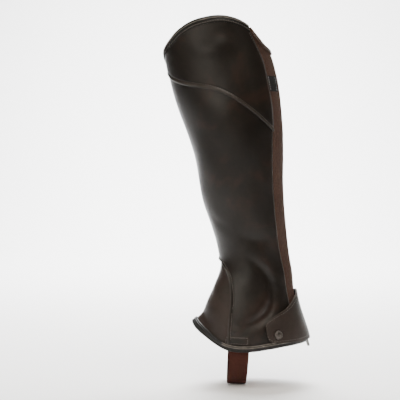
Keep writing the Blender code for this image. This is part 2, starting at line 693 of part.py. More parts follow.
def strap(material):
    """Elastic strap: down inside the outer hem, under the boot in a U, and up the inner hem."""
    top_depth = LINING_BEHIND_GUSSET + LINING_WALL + 3 * LAYER_GAP + BINDING_WALL

    def inside(x, height, side):
        middle, front, back, _, _ = section(height)
        reach = np.where(x < middle, front, back)
        angle = np.degrees(np.arccos((middle - x) / reach))
        return lifted(side * angle, height, np.full(np.shape(x), -top_depth))

    def at(s, t):
        x = STRAP_MIDDLE + STRAP_WIDTH * (s - 0.5)
        row = np.rint(t * STRAP_ROWS)
        outer_edge = inside(x, np.full(x.shape, STRAP_STRAIGHT), 1)
        inner_edge = inside(x, np.full(x.shape, STRAP_STRAIGHT), -1)
        from_top = np.clip(np.minimum(row, STRAP_ROWS - row) / STRAP_UPRIGHT, 0, 1)
        height = STRAP_TOP + (STRAP_STRAIGHT - STRAP_TOP) * from_top
        side = np.where(row < STRAP_ROWS / 2, 1, -1)
        upper = inside(x, height, side)
        turn = np.pi * np.clip((row - STRAP_UPRIGHT) / (STRAP_ROWS - 2 * STRAP_UPRIGHT), 0, 1)
        centre = (outer_edge[:, 1] + inner_edge[:, 1]) / 2
        half = (inner_edge[:, 1] - outer_edge[:, 1]) / 2
        loop_y = centre - half * np.cos(turn)
        drop = (STRAP_STRAIGHT - STRAP_BOTTOM) * np.sin(turn)
        loop_x = (outer_edge[:, 0] + (inner_edge[:, 0] - outer_edge[:, 0]) * (1 - np.cos(turn)) / 2
                  + STRAP_SHIFT * np.sin(turn))
        loop = np.stack([loop_x, loop_y, STRAP_STRAIGHT - drop], -1)
        return np.where((from_top < 1)[:, None], upper, loop)

    return wall("stirrup_strap", [(STRAP_COLUMNS, STRAP_ROWS, at)], STRAP_WALL, material,
                outward=True)


def local_frame(angle, height, lift):
    """Frame of a small piece: X backwards round the tube, Y up it and Z out of it."""
    across, up, out = directions(np.array(angle), np.array(height))
    origin = face(angle, height) + out * lift
    frame = Matrix.Identity(4)
    for column, vector in enumerate((across, up, out, origin)):
        for row in range(3):
            frame[row][column] = float(vector[row])
    return frame


def rounded(width, low, high, radius, steps=5):
    """Outline of an upright rectangle with round corners."""
    corners = [(width / 2 - radius, high - radius, 0), (-width / 2 + radius, high - radius, 90),
               (-width / 2 + radius, low + radius, 180), (width / 2 - radius, low + radius, 270)]
    outline = []
    for x, y, start in corners:
        for step in range(steps + 1):
            turn = math.radians(start + 90 * step / steps)
            outline.append((x + radius * math.cos(turn), y + radius * math.sin(turn)))
    return outline


def plate_mesh(name, outlines, thickness):
    """Flat plate from closed outlines, the first its edge and the rest its holes."""
    drawing = bpy.data.curves.new(name + "_outline", "CURVE")
    drawing.dimensions = "2D"
    drawing.fill_mode = "BOTH"
    drawing.extrude = thickness / 2
    for outline in outlines:
        spline = drawing.splines.new("POLY")
        spline.points.add(len(outline) - 1)
        for point, (x, y) in zip(spline.points, outline):
            point.co = (x, y, 0.0, 1.0)
        spline.use_cyclic_u = True
    return mesh_of_curve(name, drawing)


def rod_mesh(name, points, radius):
    """Round bar along points, with closed ends."""
    drawing = bpy.data.curves.new(name + "_path", "CURVE")
    drawing.dimensions = "3D"
    drawing.bevel_depth = radius
    drawing.bevel_resolution = 2
    drawing.use_fill_caps = True
    spline = drawing.splines.new("POLY")
    spline.points.add(len(points) - 1)
    for point, place in zip(spline.points, points):
        point.co = (*place, 1.0)
    return mesh_of_curve(name, drawing)


def mesh_of_curve(name, drawing):
    guide = bpy.data.objects.new(name + "_guide", drawing)
    bpy.data.collections[COLLECTION].objects.link(guide)
    shown = guide.evaluated_get(bpy.context.evaluated_depsgraph_get())
    mesh = bpy.data.meshes.new_from_object(shown)
    mesh.name = name
    mesh_edit = bmesh.new()
    mesh_edit.from_mesh(mesh)
    bmesh.ops.remove_doubles(mesh_edit, verts=mesh_edit.verts, dist=MERGE)
    mesh_edit.to_mesh(mesh)
    mesh_edit.free()
    bpy.data.objects.remove(guide)
    bpy.data.curves.remove(drawing)
    return mesh


def add_cutter(name, mesh, frame):
    cutter = bpy.data.objects.new(name, mesh)
    cutter.matrix_world = frame
    cutter.hide_render = True
    cutter.display_type = "WIRE"
    bpy.data.collections[COLLECTION + "_cutters"].objects.link(cutter)
    return cutter


def combine(thing, tool, operation):
    cut = thing.modifiers.new(tool.name, "BOOLEAN")
    cut.operation = operation
    cut.object = tool


def ease_edges(thing, width):
    bevel = thing.modifiers.new("edges", "BEVEL")
    bevel.width = width
    bevel.segments = 1


def zip_slider(material, frame):
    """Slider body with a channel for the closed teeth and a loop that holds the pull tab."""
    height = SLIDER_TOP + TAPE_DEPTH - SLIDER_CLEARANCE
    half = SLIDER_LENGTH / 2
    outline = [(x * (1 - SLIDER_TAPER / SLIDER_WIDTH * (1 - y / half)), y)
               for x, y in rounded(SLIDER_WIDTH, -half, half, SLIDER_WIDTH / 4)]
    body = add_object("zip_slider", plate_mesh("zip_slider", [outline], height), material)
    body.data.transform(Matrix.Translation((0, 0, SLIDER_TOP - height / 2)))
    body.matrix_world = frame
    ease_edges(body, 0.0003)
    channel_top = COIL_WALL - COIL_DEPTH + SLIDER_CLEARANCE
    channel_width = COIL_WIDTH + 2 * LAYER_GAP
    channel = plate_mesh("slider_channel",
                         [rounded(channel_width, -SLIDER_LENGTH, SLIDER_LENGTH, TAPE_GAP, 1)],
                         CHANNEL_DEEP)
    channel.transform(Matrix.Translation((0, 0, channel_top - CHANNEL_DEEP / 2)))
    combine(body, add_cutter("slider_channel", channel, frame), "DIFFERENCE")
    foot, shoulder, crown = SLIDER_TOP - SLIDER_CLEARANCE, LOOP_CROWN - LOOP_SHOULDER, LOOP_CROWN
    side = [(0, LOOP_REACH, foot), (0, 0.94 * LOOP_REACH, shoulder),
            (0, 0.55 * LOOP_REACH, crown - LOOP_SHOULDER / 9)]
    loop = side + [(0, 0, crown)] + [(0, -y, z) for _, y, z in reversed(side)]
    combine(body, add_cutter("slider_loop", rod_mesh("slider_loop", loop, LOOP_RADIUS), frame),
            "UNION")
    return body


def pull_tab(material, frame):
    """Thin metal pull that hangs from the slider's loop; its origin is on its hinge axis."""
    window_width, window_long = PULL_WINDOW
    hole_width, hole_long = PULL_HOLE
    window = rounded(window_width, -BAR_HALF - window_long, -BAR_HALF, window_width / 5, 2)
    edge = [(x * (1 - PULL_WAIST * math.sin(math.pi * min(max(-y / PULL_LENGTH, 0), 1))), y)
            for x, y in rounded(PULL_WIDTH, -PULL_LENGTH, BAR_HALF, 0.3 * PULL_WIDTH)]
    hole_low = PULL_HOLE_UP - PULL_LENGTH
    hole = rounded(hole_width, hole_low, hole_low + hole_long, 0.46 * hole_width, 4)
    pull = add_object("pull_tab", plate_mesh("pull_tab", [edge, window, hole], PULL_WALL), material)
    pull.matrix_world = frame
    ease_edges(pull, 0.00025)
    return pull


def tab_offset(angle, height):
    """How far the heel tab's inner face stands off the leather at a place."""
    upper, lower, off_top, off_bottom = (np.interp(angle, TAB["angle"], TAB[name])
                                         for name in ("upper", "lower", "off_top", "off_bottom"))
    return off_bottom + (off_top - off_bottom) * (height - lower) / (upper - lower)


def press_stud(material):
    """Round stud cap: a low dome inside a raised ring, turned round its own axis."""
    count = len(STUD_PROFILE["out"])
    profile = zip(STUD_PROFILE["out"] * STUD_RADIUS, STUD_PROFILE["up"] * STUD_TALL)
    mesh = bpy.data.meshes.new("press_stud")
    mesh.from_pydata([(x, 0.0, z) for x, z in profile], [(k, k + 1) for k in range(count - 1)], [])
    stud = add_object("press_stud", mesh, material)
    off = float(tab_offset(STUD_ANGLE, STUD_HEIGHT)) + TAB_WALL + STUD_GAP
    stud.matrix_world = local_frame(STUD_ANGLE, STUD_HEIGHT, off)
    turned = stud.modifiers.new("turned", "SCREW")
    turned.steps = STUD_STEPS
    turned.render_steps = STUD_STEPS
    turned.use_merge_vertices = True
    turned.merge_threshold = MERGE
    turned.use_smooth_shade = True
    return stud


def build():
    for thing in list(bpy.data.objects):
        bpy.data.objects.remove(thing)
    for name in (COLLECTION, COLLECTION + "_cutters"):
        bpy.context.scene.collection.children.link(bpy.data.collections.new(name))

    outer_panel(finish("smooth_leather", LEATHER_BROWN, 0.34))
    inner_panel(finish("smooth_leather_inner", LEATHER_BROWN, 0.36))
    yoke(finish("yoke_leather", YOKE_BROWN, 0.32))
    gusset(finish("soft_leather", GUSSET_BROWN, 0.42))
    lining(finish("lining_suede", SUEDE_TAN, 0.85))
    elastic_panel(finish("ribbed_elastic", ELASTIC_BROWN, 0.75))
    elastic_top_binding(finish("ribbed_tape", TAPE_BROWN, 0.75))
    top_binding(finish("top_binding_leather", BINDING_BROWN, 0.38))
    hem_binding(finish("hem_binding_leather", BINDING_BROWN, 0.38))
    heel_tab(finish("tab_leather", TAB_BROWN, 0.36))
    label(finish("label_ribbon", LABEL_BLACK, 0.70))
    strap(finish("strap_elastic", STRAP_BROWN, 0.80))

    low, high = ZIP_PAST_BACK - ZIP_WINDOW / 2, ZIP_PAST_BACK + ZIP_WINDOW / 2
    zip_strip("zip_tape_outer", low + 2 * TAPE_GAP, ZIP_PAST_BACK - TAPE_GAP, TAPE_DEPTH, TAPE_WALL,
              finish("tape_weave_outer", ZIP_BROWN, 0.80), TAPE_INSETS, False)
    zip_strip("zip_tape_inner", ZIP_PAST_BACK + TAPE_GAP, high - 2 * TAPE_GAP, TAPE_DEPTH, TAPE_WALL,
              finish("tape_weave_inner", ZIP_BROWN, 0.80), TAPE_INSETS, False)
    zip_strip("zip_teeth", ZIP_PAST_BACK - COIL_WIDTH / 2, ZIP_PAST_BACK + COIL_WIDTH / 2,
              COIL_DEPTH, COIL_WALL, finish("zip_coil", COIL_BROWN, 0.45), COIL_INSETS, True)

    zip_angle = float(past_back(SLIDER_HEIGHT, ZIP_PAST_BACK))
    zip_slider(finish("slider_metal", ZIP_METAL, 0.35, 1.0),
               local_frame(zip_angle, SLIDER_HEIGHT, 0.0))
    pull_tab(finish("pull_metal", ZIP_METAL, 0.35, 1.0),
             local_frame(zip_angle, SLIDER_HEIGHT, PIVOT_LIFT))
    press_stud(finish("stud_metal", STUD_METAL, 0.38, 1.0))


build()
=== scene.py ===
"""Half chap for a left leg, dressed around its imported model.

Metres, +Z up the leg, toe towards -X, outer side of the leg towards -Y. A place on the tube is an angle
round it in degrees (0 front, 90 outer side, 180 back, 270 or -90 inner side) and a height.
"""

import math

import bpy
import numpy as np
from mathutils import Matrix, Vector


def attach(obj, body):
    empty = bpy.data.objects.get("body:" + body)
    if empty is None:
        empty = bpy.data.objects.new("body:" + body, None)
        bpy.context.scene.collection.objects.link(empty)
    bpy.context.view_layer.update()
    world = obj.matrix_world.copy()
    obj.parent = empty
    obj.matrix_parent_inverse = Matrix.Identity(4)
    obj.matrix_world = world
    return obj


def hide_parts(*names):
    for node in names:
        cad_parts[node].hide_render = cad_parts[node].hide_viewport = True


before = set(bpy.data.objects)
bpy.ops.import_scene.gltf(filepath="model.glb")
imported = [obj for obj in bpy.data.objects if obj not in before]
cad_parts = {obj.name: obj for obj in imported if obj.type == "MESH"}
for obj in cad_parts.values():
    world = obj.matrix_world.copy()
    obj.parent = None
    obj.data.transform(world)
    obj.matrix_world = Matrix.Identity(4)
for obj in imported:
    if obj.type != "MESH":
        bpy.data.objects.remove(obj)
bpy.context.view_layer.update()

# Walls and depths of the layers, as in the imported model
LEATHER = 0.0015
YOKE_WALL = 0.0010
GUSSET_WALL = 0.0012
LINING_WALL = 0.0010
BINDING_WALL = 0.0010
TAB_WALL = 0.0020
STRAP_WALL = 0.0015
ELASTIC_WALL = 0.0013
TAPE_WALL = 0.0009
LABEL_WALL = 0.0007
LAYER_GAP = 0.0005
SEAM_HALF = 0.12
EDGE_INSET = 0.0018
YOKE_LIFT = 0.0002
GUSSET_DEPTH = LEATHER + LAYER_GAP
LINING_DEPTH = LEATHER + 0.0008
LINING_BEHIND_GUSSET = GUSSET_DEPTH + GUSSET_WALL + 0.0007
ELASTIC_DEPTH = 0.0005
TAPE_DEPTH = 0.0015

# Gusset, bindings, zip
APEX = -0.189
GUSSET_RISE = 0.063
GUSSET_ANGLE = 60.0
GUSSET_TUCK = 9.0
GUSSET_TUCK_UP = 0.009
GUSSET_TOP = -0.183
TOP_BAND = 0.0085
HEM_BAND = 0.0078
ELASTIC_BAND = 0.0060
ZIP_PAST_BACK = 0.012
ZIP_WINDOW = 0.016
RIM_BY_ZIP = 0.070
RIM_BY_ELASTIC = 0.086
RIM_BAND_END = 0.100
HEM_BY_ZIP = -0.290

# The hem's lip, the rim's roll, and what carries the small pieces
LIP_OUT, LIP_HEIGHT, LIP_SPREAD = 0.0112, 0.014, 28.0
ROLL_OUT, ROLL_HEIGHT, ROLL_SPREAD = 0.0005, 0.015, 40.0
STUD_ANGLE, STUD_HEIGHT, STUD_RADIUS, STUD_TALL = 113.5, -0.2795, 0.0053, 0.0024
STRAP_WIDTH, STRAP_MIDDLE, STRAP_SHIFT = 0.025, 0.0095, -0.0028
STRAP_BOTTOM, STRAP_STRAIGHT, STRAP_TOP = -0.3480, -0.3020, -0.2865
LABEL_LOW, LABEL_HIGH, LABEL_SPAN = 0.0215, 0.0405, 19.0
WIDEST = 0.54
RIBS = 10
APEX_AT = 0.38

# Heights near the hem and the rim, from which a panel's true ones are found, and steps over the face
HEM_ABOUT, RIM_ABOUT = -0.295, 0.085
CLIMB_STEPS, ROUND_STEPS = 6, 8

# Relief as bells: middle and reach off an edge, or as shares of a band, and height
ARCH_FOLD = [(0.0009, 0.0013, 0.0012), (0.0034, 0.0006, -0.0003)]
YOKE_RIDGE, YOKE_GROOVE = (0.0022, 0.0020, 0.0009), (0.0051, 0.0009, -0.0004)
TOP_ROLLS = [(0.26, 0.16, 0.00035), (0.84, 0.14, 0.0004), (0.55, 0.07, -0.0003)]
HEM_RIDGES = [(0.10, 0.10, 0.0007), (0.43, 0.11, 0.0007), (0.26, 0.06, -0.0004)]
SEAM_GROOVES = [("inner_front", 0.0008, 0.0004), ("elastic", 0.0011, 0.0007)]
# The last narrows the painted highlight on the bands' ridges to thin lines.
FOLD, FOLD_BULGE, RIDGE_HIGHLIGHT_POWER = 0.0016, 0.0010, 9

# Sewing: lengths in metres, and how many degrees a row keeps from its seam
STITCH_PITCH, STITCH_LONG, THREAD_RADIUS = 0.0031, 0.0023, 0.00028
BESIDE_SEAM, BESIDE_ARCH = 2.6, 3.6
ROWS_FROM = -0.2900
COIL_PITCH, COIL_WIRE, COIL_REACH = 0.00135, 0.00030, 0.0024


def table(names, rows):
    """Columns by name, as arrays."""
    return dict(zip(names, np.array(rows, float).T))


SECTIONS = table(("height", "front", "back", "outer", "inner"), [
    (-0.3050, -0.0450, 0.0990, 0.0470, 0.0450),
    (-0.2900, -0.0420, 0.0970, 0.0470, 0.0450),
    (-0.2680, -0.0380, 0.0910, 0.0455, 0.0430),
    (-0.2540, -0.0350, 0.0870, 0.0435, 0.0410),
    (-0.2260, -0.0245, 0.0812, 0.0390, 0.0370),
    (-0.2030, -0.0152, 0.0788, 0.0365, 0.0350),
    (-0.1900, -0.0134, 0.0766, 0.0358, 0.0345),
    (-0.1720, -0.0159, 0.0740, 0.0362, 0.0350),
    (-0.1450, -0.0240, 0.0710, 0.0390, 0.0380),
    (-0.1200, -0.0325, 0.0695, 0.0420, 0.0410),
    (-0.0830, -0.0410, 0.0678, 0.0470, 0.0460),
    (-0.0550, -0.0470, 0.0679, 0.0505, 0.0490),
    (-0.0250, -0.0560, 0.0678, 0.0530, 0.0510),
    (0.0000, -0.0650, 0.0656, 0.0545, 0.0520),
    (0.0230, -0.0720, 0.0626, 0.0545, 0.0520),
    (0.0530, -0.0790, 0.0558, 0.0535, 0.0510),
    (0.0760, -0.0838, 0.0492, 0.0520, 0.0500),
    (0.1150, -0.0905, 0.0395, 0.0500, 0.0480)])
RIM = table(("angle", "height"), [
    (0, 0.0725), (17, 0.0795), (30, 0.0862), (50, 0.0988), (64, 0.1062), (80, 0.1112),
    (96, 0.1130), (110, 0.1110), (121, 0.1072), (132, 0.1005), (143, 0.0885), (153, 0.0800),
    (166, 0.0763), (190, 0.0748), (220, 0.0710), (255, 0.0650), (280, 0.0595), (308, 0.0568),
    (330, 0.0585), (345, 0.0635)])
HEM = table(("angle", "height"), [
    (0, -0.2668), (15, -0.2734), (30, -0.2828), (42, -0.2906), (55, -0.2975), (70, -0.3010),
    (84, -0.3005), (100, -0.2978), (120, -0.2950), (150, -0.2932), (180, -0.2932),
    (210, -0.2932), (240, -0.2950), (260, -0.2978), (276, -0.3005), (290, -0.3010),
    (305, -0.2975), (318, -0.2906), (330, -0.2828), (345, -0.2734)])
SEAMS = table(("height", "inner_front", "elastic"), [
    (-0.300, -80, 146.5), (-0.272, -78, 146.0), (-0.246, -74, 145.0), (-0.224, -63, 143.0),
    (-0.201, -47, 138.5), (-0.175, -43, 134.8), (-0.136, -37, 133.5), (-0.088, -35, 133.5),
    (-0.030, -36, 137.5), (0.000, -39, 139.3), (0.030, -41, 139.0), (0.055, -42, 139.5),
    (0.067, -42, 137.5), (0.080, -42, 134.0), (0.095, -42, 129.8), (0.110, -42, 129.0)])
YOKE = table(("angle", "height"), [
    (-32, 0.0470), (-15, 0.0470), (0, 0.0445), (10, 0.0410), (18, 0.0367), (30, 0.0320),
    (46, 0.0273), (62, 0.0243), (80, 0.0182), (88, 0.0127), (97, 0.0055), (107, -0.0030),
    (118, -0.0130), (131, -0.0238), (141, -0.0310)])
YOKE_SLIVER = 0.0018
TAB = table(("angle", "upper", "lower", "off_top", "off_bottom"), [
    (101.0, -0.2705, -0.2790, 0.0006, 0.0011), (102.3, -0.2662, -0.2850, 0.0006, 0.0015),
    (105.0, -0.2630, -0.2880, 0.0006, 0.0018), (109.0, -0.2603, -0.2890, 0.0006, 0.0020),
    (115.0, -0.2563, -0.2895, 0.0006, 0.0021), (122.0, -0.2530, -0.2896, 0.0006, 0.0022),
    (130.0, -0.2497, -0.2897, 0.0007, 0.0022), (140.0, -0.2448, -0.2899, 0.0009, 0.0023),
    (150.0, -0.2400, -0.2901, 0.0011, 0.0025), (160.0, -0.2355, -0.2902, 0.0013, 0.0028),
    (172.0, -0.2312, -0.2905, 0.0015, 0.0032), (182.0, -0.2292, -0.2908, 0.0019, 0.0038),
    (189.0, -0.2290, -0.2910, 0.0027, 0.0056), (195.5, -0.2292, -0.2910, 0.0034, 0.0070),
    (203.0, -0.2300, -0.2910, 0.0030, 0.0064), (213.0, -0.2312, -0.2904, 0.0017, 0.0037),
    (223.0, -0.2328, -0.2890, 0.0007, 0.0025), (233.0, -0.2345, -0.2845, 0.0006, 0.0012)])

# Soft troughs and ridges in the leather: places as angle, height and depth, then the reach.
# The first two are the ankle's own creases; the rest are smaller, uneven ones.
CREASES = [
    ([(70, -0.183, 0.0), (85, -0.193, 0.0014), (100, -0.204, 0.0026), (111, -0.217, 0.0034),
        (115, -0.231, 0.0037), (111, -0.246, 0.0036), (100, -0.2580, 0.0033), (87, -0.266, 0.0025),
        (75, -0.270, 0.0010), (66, -0.271, 0.0)], 0.0066),
    ([(-96, -0.180, 0.0), (-108, -0.197, 0.0024), (-114, -0.217, 0.0034), (-110, -0.238, 0.0034),
        (-97, -0.253, 0.0028), (-80, -0.262, 0.0)], 0.0078),
    ([(57, -0.2740, 0.0), (64, -0.2750, -0.0012), (71, -0.2757, -0.0010), (78, -0.2760, 0.0)], 0.0042),
    ([(-57, -0.2740, 0.0), (-64, -0.2750, -0.0012), (-71, -0.2757, -0.0010), (-78, -0.2760, 0.0)], 0.0042),
    ([(58, -0.150, 0.0), (78, -0.160, 0.0009), (98, -0.163, 0.0012), (114, -0.157, 0.0)], 0.0085),
    ([(20, -0.128, 0.0), (34, -0.140, 0.0009), (50, -0.147, 0.0006), (60, -0.150, 0.0)], 0.0070),
    ([(52, -0.020, 0.0), (60, -0.048, 0.0009), (66, -0.078, 0.0010), (70, -0.105, 0.0)], 0.0120),
    ([(-30, -0.120, 0.0), (-52, -0.131, 0.0007), (-78, -0.128, 0.0008), (-100, -0.119, 0.0)], 0.0065),
    ([(-58, -0.158, 0.0), (-76, -0.166, 0.0009), (-94, -0.162, 0.0)], 0.0055),
    ([(10, 0.055, 0.0), (22, 0.062, 0.0006), (34, 0.064, 0.0)], 0.0045),
    ([(56, 0.066, 0.0), (76, 0.071, -0.0010), (96, 0.078, -0.0012), (112, 0.081, 0.0)], 0.0100),
    ([(-120, 0.010, 0.0), (-112, -0.020, 0.0006), (-118, -0.055, 0.0)], 0.0100)]
CREASE_STEPS = 13
METRES_PER_DEGREE = 0.00082

# Waves of the whole wall: how many round the tube, waves a metre up it, its start and its height
WAVES = [(2.0, 5.1, 0.4, 0.00045), (3.0, -7.3, 1.9, 0.00040), (5.0, 11.7, 2.6, 0.00022),
         (7.0, -14.1, 4.4, 0.00016)]

# The strap's ends are sewn under the leather: middle angle and height, half sizes, and how far they show.
# A degree is longer there than METRES_PER_DEGREE says.
PATCHES = [(69.5, -0.2868, 0.0122, 0.0052), (-69.5, -0.2868, 0.0122, 0.0052)]
PATCH_DEGREE = METRES_PER_DEGREE * 1.18
PATCH_RISE, PATCH_SOFT, PATCH_STITCH = 0.0009, 0.0012, 0.0016


def smooth(at, knots, values):
    """Cubic through the table's points, with each knot's slope taken from its neighbours."""
    at = np.clip(np.asarray(at, float), knots[0], knots[-1])
    slopes = np.gradient(values, knots)
    cell = np.clip(np.searchsorted(knots, at) - 1, 0, len(knots) - 2)
    span = knots[cell + 1] - knots[cell]
    t = (at - knots[cell]) / span
    start = values[cell] * (1 + 2 * t) * (1 - t) ** 2 + span * slopes[cell] * t * (1 - t) ** 2
    end = values[cell + 1] * t * t * (3 - 2 * t) - span * slopes[cell + 1] * t * t * (1 - t)
    return start + end


def around(at, columns):
    """The height that a closed table gives at each angle."""
    knots = np.concatenate([columns["angle"] + turn for turn in (-360.0, 0.0, 360.0)])
    return smooth(at, knots, np.tile(columns["height"], 3))


def ramp(value, low, high):
    """0 below low, 1 above high, and a soft S between."""
    t = np.clip((np.asarray(value, float) - low) / (high - low), 0.0, 1.0)
    return t * t * (3 - 2 * t)


def wrapped(angle):
    """The same angle between -180 and 180."""
    return (np.asarray(angle, float) + 180.0) % 360.0 - 180.0


def bell(at, middle, reach):
    """1 at the middle, falling as exp(-(distance over reach) squared)."""
    return np.exp(-((at - middle) / reach) ** 2)


def bells(at, rows):
    """Sum of bells, each with its middle, reach and height."""
    return sum(height * bell(at, middle, reach) for middle, reach, height in rows)


def unit(vectors):
    return vectors / np.linalg.norm(vectors, axis=-1, keepdims=True)


def crease_depth(angle, height):
    """Sum over the creases of a bell across each line, as deep as the line is at its nearest point."""
    total = np.zeros(np.broadcast(angle, height).shape)
    round_it = wrapped(angle) * METRES_PER_DEGREE
    for line, reach in CREASES:
        steps = np.linspace(0, len(line) - 1, CREASE_STEPS)
        line_round, line_up, line_deep = (smooth(steps, np.arange(len(line), dtype=float), column)
                                          for column in np.array(line, float).T)
        line_round = line_round * METRES_PER_DEGREE
        nearest, deep = np.full_like(total, 1.0), np.zeros_like(total)
        for k in range(CREASE_STEPS - 1):
            run, rise = line_round[k + 1] - line_round[k], line_up[k + 1] - line_up[k]
            off_round, off_up = round_it - line_round[k], height - line_up[k]
            share = np.clip((off_round * run + off_up * rise) / (run ** 2 + rise ** 2), 0, 1)
            away = (off_round - share * run) ** 2 + (off_up - share * rise) ** 2
            deep = np.where(away < nearest, line_deep[k] + share * (line_deep[k + 1] - line_deep[k]), deep)
            nearest = np.minimum(away, nearest)
        total = total + deep * np.exp(-nearest / reach ** 2)
    return total


def sections(height, *names):
    """The tube's level section at a height: the edges and half widths of those names."""
    return [smooth(height, SECTIONS["height"], SECTIONS[name]) for name in names]


def shaped(angle, height):
    """The leather's face: a two-part ellipse moved out by the lip and roll and in by the creases.

    x = middle - depth cos(angle), y = -width sin(angle), both moved along the ellipse's normal.
    """
    angle, height = np.broadcast_arrays(np.asarray(angle, float), np.asarray(height, float))
    front, back, outer, inner = sections(height, "front", "back", "outer", "inner")
    middle = front + WIDEST * (back - front)
    cosine, sine = np.cos(np.radians(angle)), np.sin(np.radians(angle))
    depth = np.where(cosine > 0, middle - front, back - middle)
    width = np.where(sine > 0, outer, inner)
    above_hem = np.clip((height - around(angle, HEM)) / LIP_HEIGHT, -0.2, 1.0)
    below_rim = np.clip((around(angle, RIM) - height) / ROLL_HEIGHT, -0.2, 1.0)
    out = LIP_OUT * (1 - above_hem) ** 2 * bell(wrapped(angle), 0.0, LIP_SPREAD)
    out = out + ROLL_OUT * (1 - below_rim) ** 2 * bell(wrapped(angle), 0.0, ROLL_SPREAD)
    out = out - crease_depth(angle, height)
    for turns, climb_rate, start, size in WAVES:
        out = out + size * np.sin(turns * np.radians(angle) + 2 * np.pi * climb_rate * height + start)
    normal = unit(np.stack([-cosine / depth, -sine / width], -1))
    return np.stack([middle - depth * cosine + out * normal[..., 0],
                     -width * sine + out * normal[..., 1], height], -1)


# The face worked out once on an even grid, half a degree by half a millimetre
GRID_LOW, GRID_STEP, GRID_ROWS, GRID_COLUMNS = -0.325, 0.0005, 901, 720
FACE_GRID = shaped(np.arange(GRID_COLUMNS)[None, :] * 360.0 / GRID_COLUMNS,
                   GRID_LOW + GRID_STEP * np.arange(GRID_ROWS)[:, None])
UP_GRID = unit(np.gradient(FACE_GRID, axis=0))
OUT_GRID = unit(np.cross(np.roll(FACE_GRID, -1, 1) - np.roll(FACE_GRID, 1, 1), UP_GRID))


def looked_up(grid, angle, height):
    """Value between the grid's four nearest places, in straight proportion."""
    angle, height = np.broadcast_arrays(np.asarray(angle, float), np.asarray(height, float))
    column = (angle % 360.0) * GRID_COLUMNS / 360.0
    row = np.clip((height - GRID_LOW) / GRID_STEP, 0, GRID_ROWS - 1.001)
    left, low = column.astype(int) % GRID_COLUMNS, row.astype(int)
    over, above = (column - np.floor(column))[..., None], (row - low)[..., None]
    right = (left + 1) % GRID_COLUMNS
    bottom = grid[low, left] * (1 - over) + grid[low, right] * over
    top = grid[low + 1, left] * (1 - over) + grid[low + 1, right] * over
    return bottom * (1 - above) + top * above


def face(angle, height):
    return looked_up(FACE_GRID, angle, height)


def directions(angle, height):
    """Unit vectors at a place on the face: backwards round the tube, up it, and out of it."""
    up, out = unit(looked_up(UP_GRID, angle, height)), unit(looked_up(OUT_GRID, angle, height))
    return np.cross(up, out), up, out


def lifted(angle, height, lift):
    """A point that stands lift off the leather's face, or under it where lift is negative."""
    out = unit(looked_up(OUT_GRID, angle, height))
    return face(angle, height) + out * np.asarray(lift, float)[..., None]


def climb(angle, start, distance):
    """Height reached by going distance up the face from start, in equal short steps."""
    angle, height, distance = np.broadcast_arrays(angle, np.asarray(start, float), distance)
    for _ in range(CLIMB_STEPS):
        height = height + distance / CLIMB_STEPS * looked_up(UP_GRID, angle, height)[..., 2]
    return height


def past_back(height, distance):
    """Angle that lies distance round the inner side from the middle of the back, in equal short steps."""
    height, distance = np.broadcast_arrays(np.asarray(height, float), np.asarray(distance, float))
    angle = np.full(height.shape, 180.0)
    for _ in range(ROUND_STEPS):
        run = np.linalg.norm(face(angle + 0.5, height) - face(angle - 0.5, height), axis=-1)
        angle = angle + distance / ROUND_STEPS / run
    return angle


def zip_side(height, side):
    """The zip window's edge: -1 beside the elastic, 1 beside the inner leather."""
    return past_back(height, ZIP_PAST_BACK + side * ZIP_WINDOW / 2)


def seam(name, height):
    """Angle of a long seam at a height."""
    return smooth(height, SEAMS["height"], SEAMS[name])


def arch(height, half_angle=GUSSET_ANGLE, rise=GUSSET_RISE):
    """Half angle of a round-topped arch: half_angle times the root of one less the height's share squared."""
    share = np.clip((height - (APEX - GUSSET_RISE)) / rise, 0.0, 1.0)
    return half_angle * np.sqrt(1.0 - share ** 2)


def front_edge(height, side):
    """Edge of the leather beside the gusset, or the front's middle line above its apex."""
    return np.where(height < APEX - 1e-6, side * (arch(height) + SEAM_HALF), 0.0)


def top_fall(angle, width):
    """Height at which a band of that width below the rim ends, measured square to the rim."""
    rise = around(angle + 2, RIM) - around(angle - 2, RIM)
    run = face(angle + 2, around(angle, RIM)) - face(angle - 2, around(angle, RIM))
    slope = rise / np.linalg.norm(run, axis=-1)
    return around(angle, RIM) - width * np.sqrt(1 + slope ** 2)


def lining_depth(angle, height):
    """How deep the lining lies under the face: deeper behind the gusset, with soft steps round it."""
    behind = 1 - ramp(np.abs(wrapped(angle)), 74.0, 92.0)
    behind = behind * (1 - ramp(height, APEX + 0.013, APEX + 0.031))
    return LINING_DEPTH + (LINING_BEHIND_GUSSET - LINING_DEPTH) * behind


def beside_arch(angle, height):
    """Metres outwards from the arch's edge, and above its apex the straight way to it."""
    beside = (np.abs(wrapped(angle)) - arch(height)) * METRES_PER_DEGREE
    return np.where(height > APEX, np.hypot(height - APEX, beside), beside)


def past_patch(angle, height, patch):
    """Metres past a sewn patch's borders, round the leg and up it: less than nothing inside."""
    middle, level, half_wide, half_tall = patch
    return np.abs(wrapped(angle - middle)) * PATCH_DEGREE - half_wide, np.abs(height - level) - half_tall


def leather_top(angle, height):
    """How far the smooth leather stands off the plain face.

    The gusset's edge is folded, so it stands up as a bell beside the arch with a groove for its stitches.
    Each patch is a plateau with soft borders, and each long seam a groove.
    """
    near_arch = 1 - ramp(height, APEX + 0.0005, APEX + 0.006)
    rise = near_arch * bells(beside_arch(angle, height), ARCH_FOLD)
    for patch in PATCHES:
        wide, tall = past_patch(angle, height, patch)
        plateau = (1 - ramp(wide, -PATCH_SOFT, 0.0)) * (1 - ramp(tall, -PATCH_SOFT, 0.0))
        border = bell(np.maximum(wide, tall), -PATCH_STITCH, 0.0005)
        rise = rise + PATCH_RISE * plateau - 0.0003 * plateau * border
    for name, reach, deep in SEAM_GROOVES:
        rise = rise - deep * bell(wrapped(angle - seam(name, height)) * METRES_PER_DEGREE, 0.0, reach)
    return rise


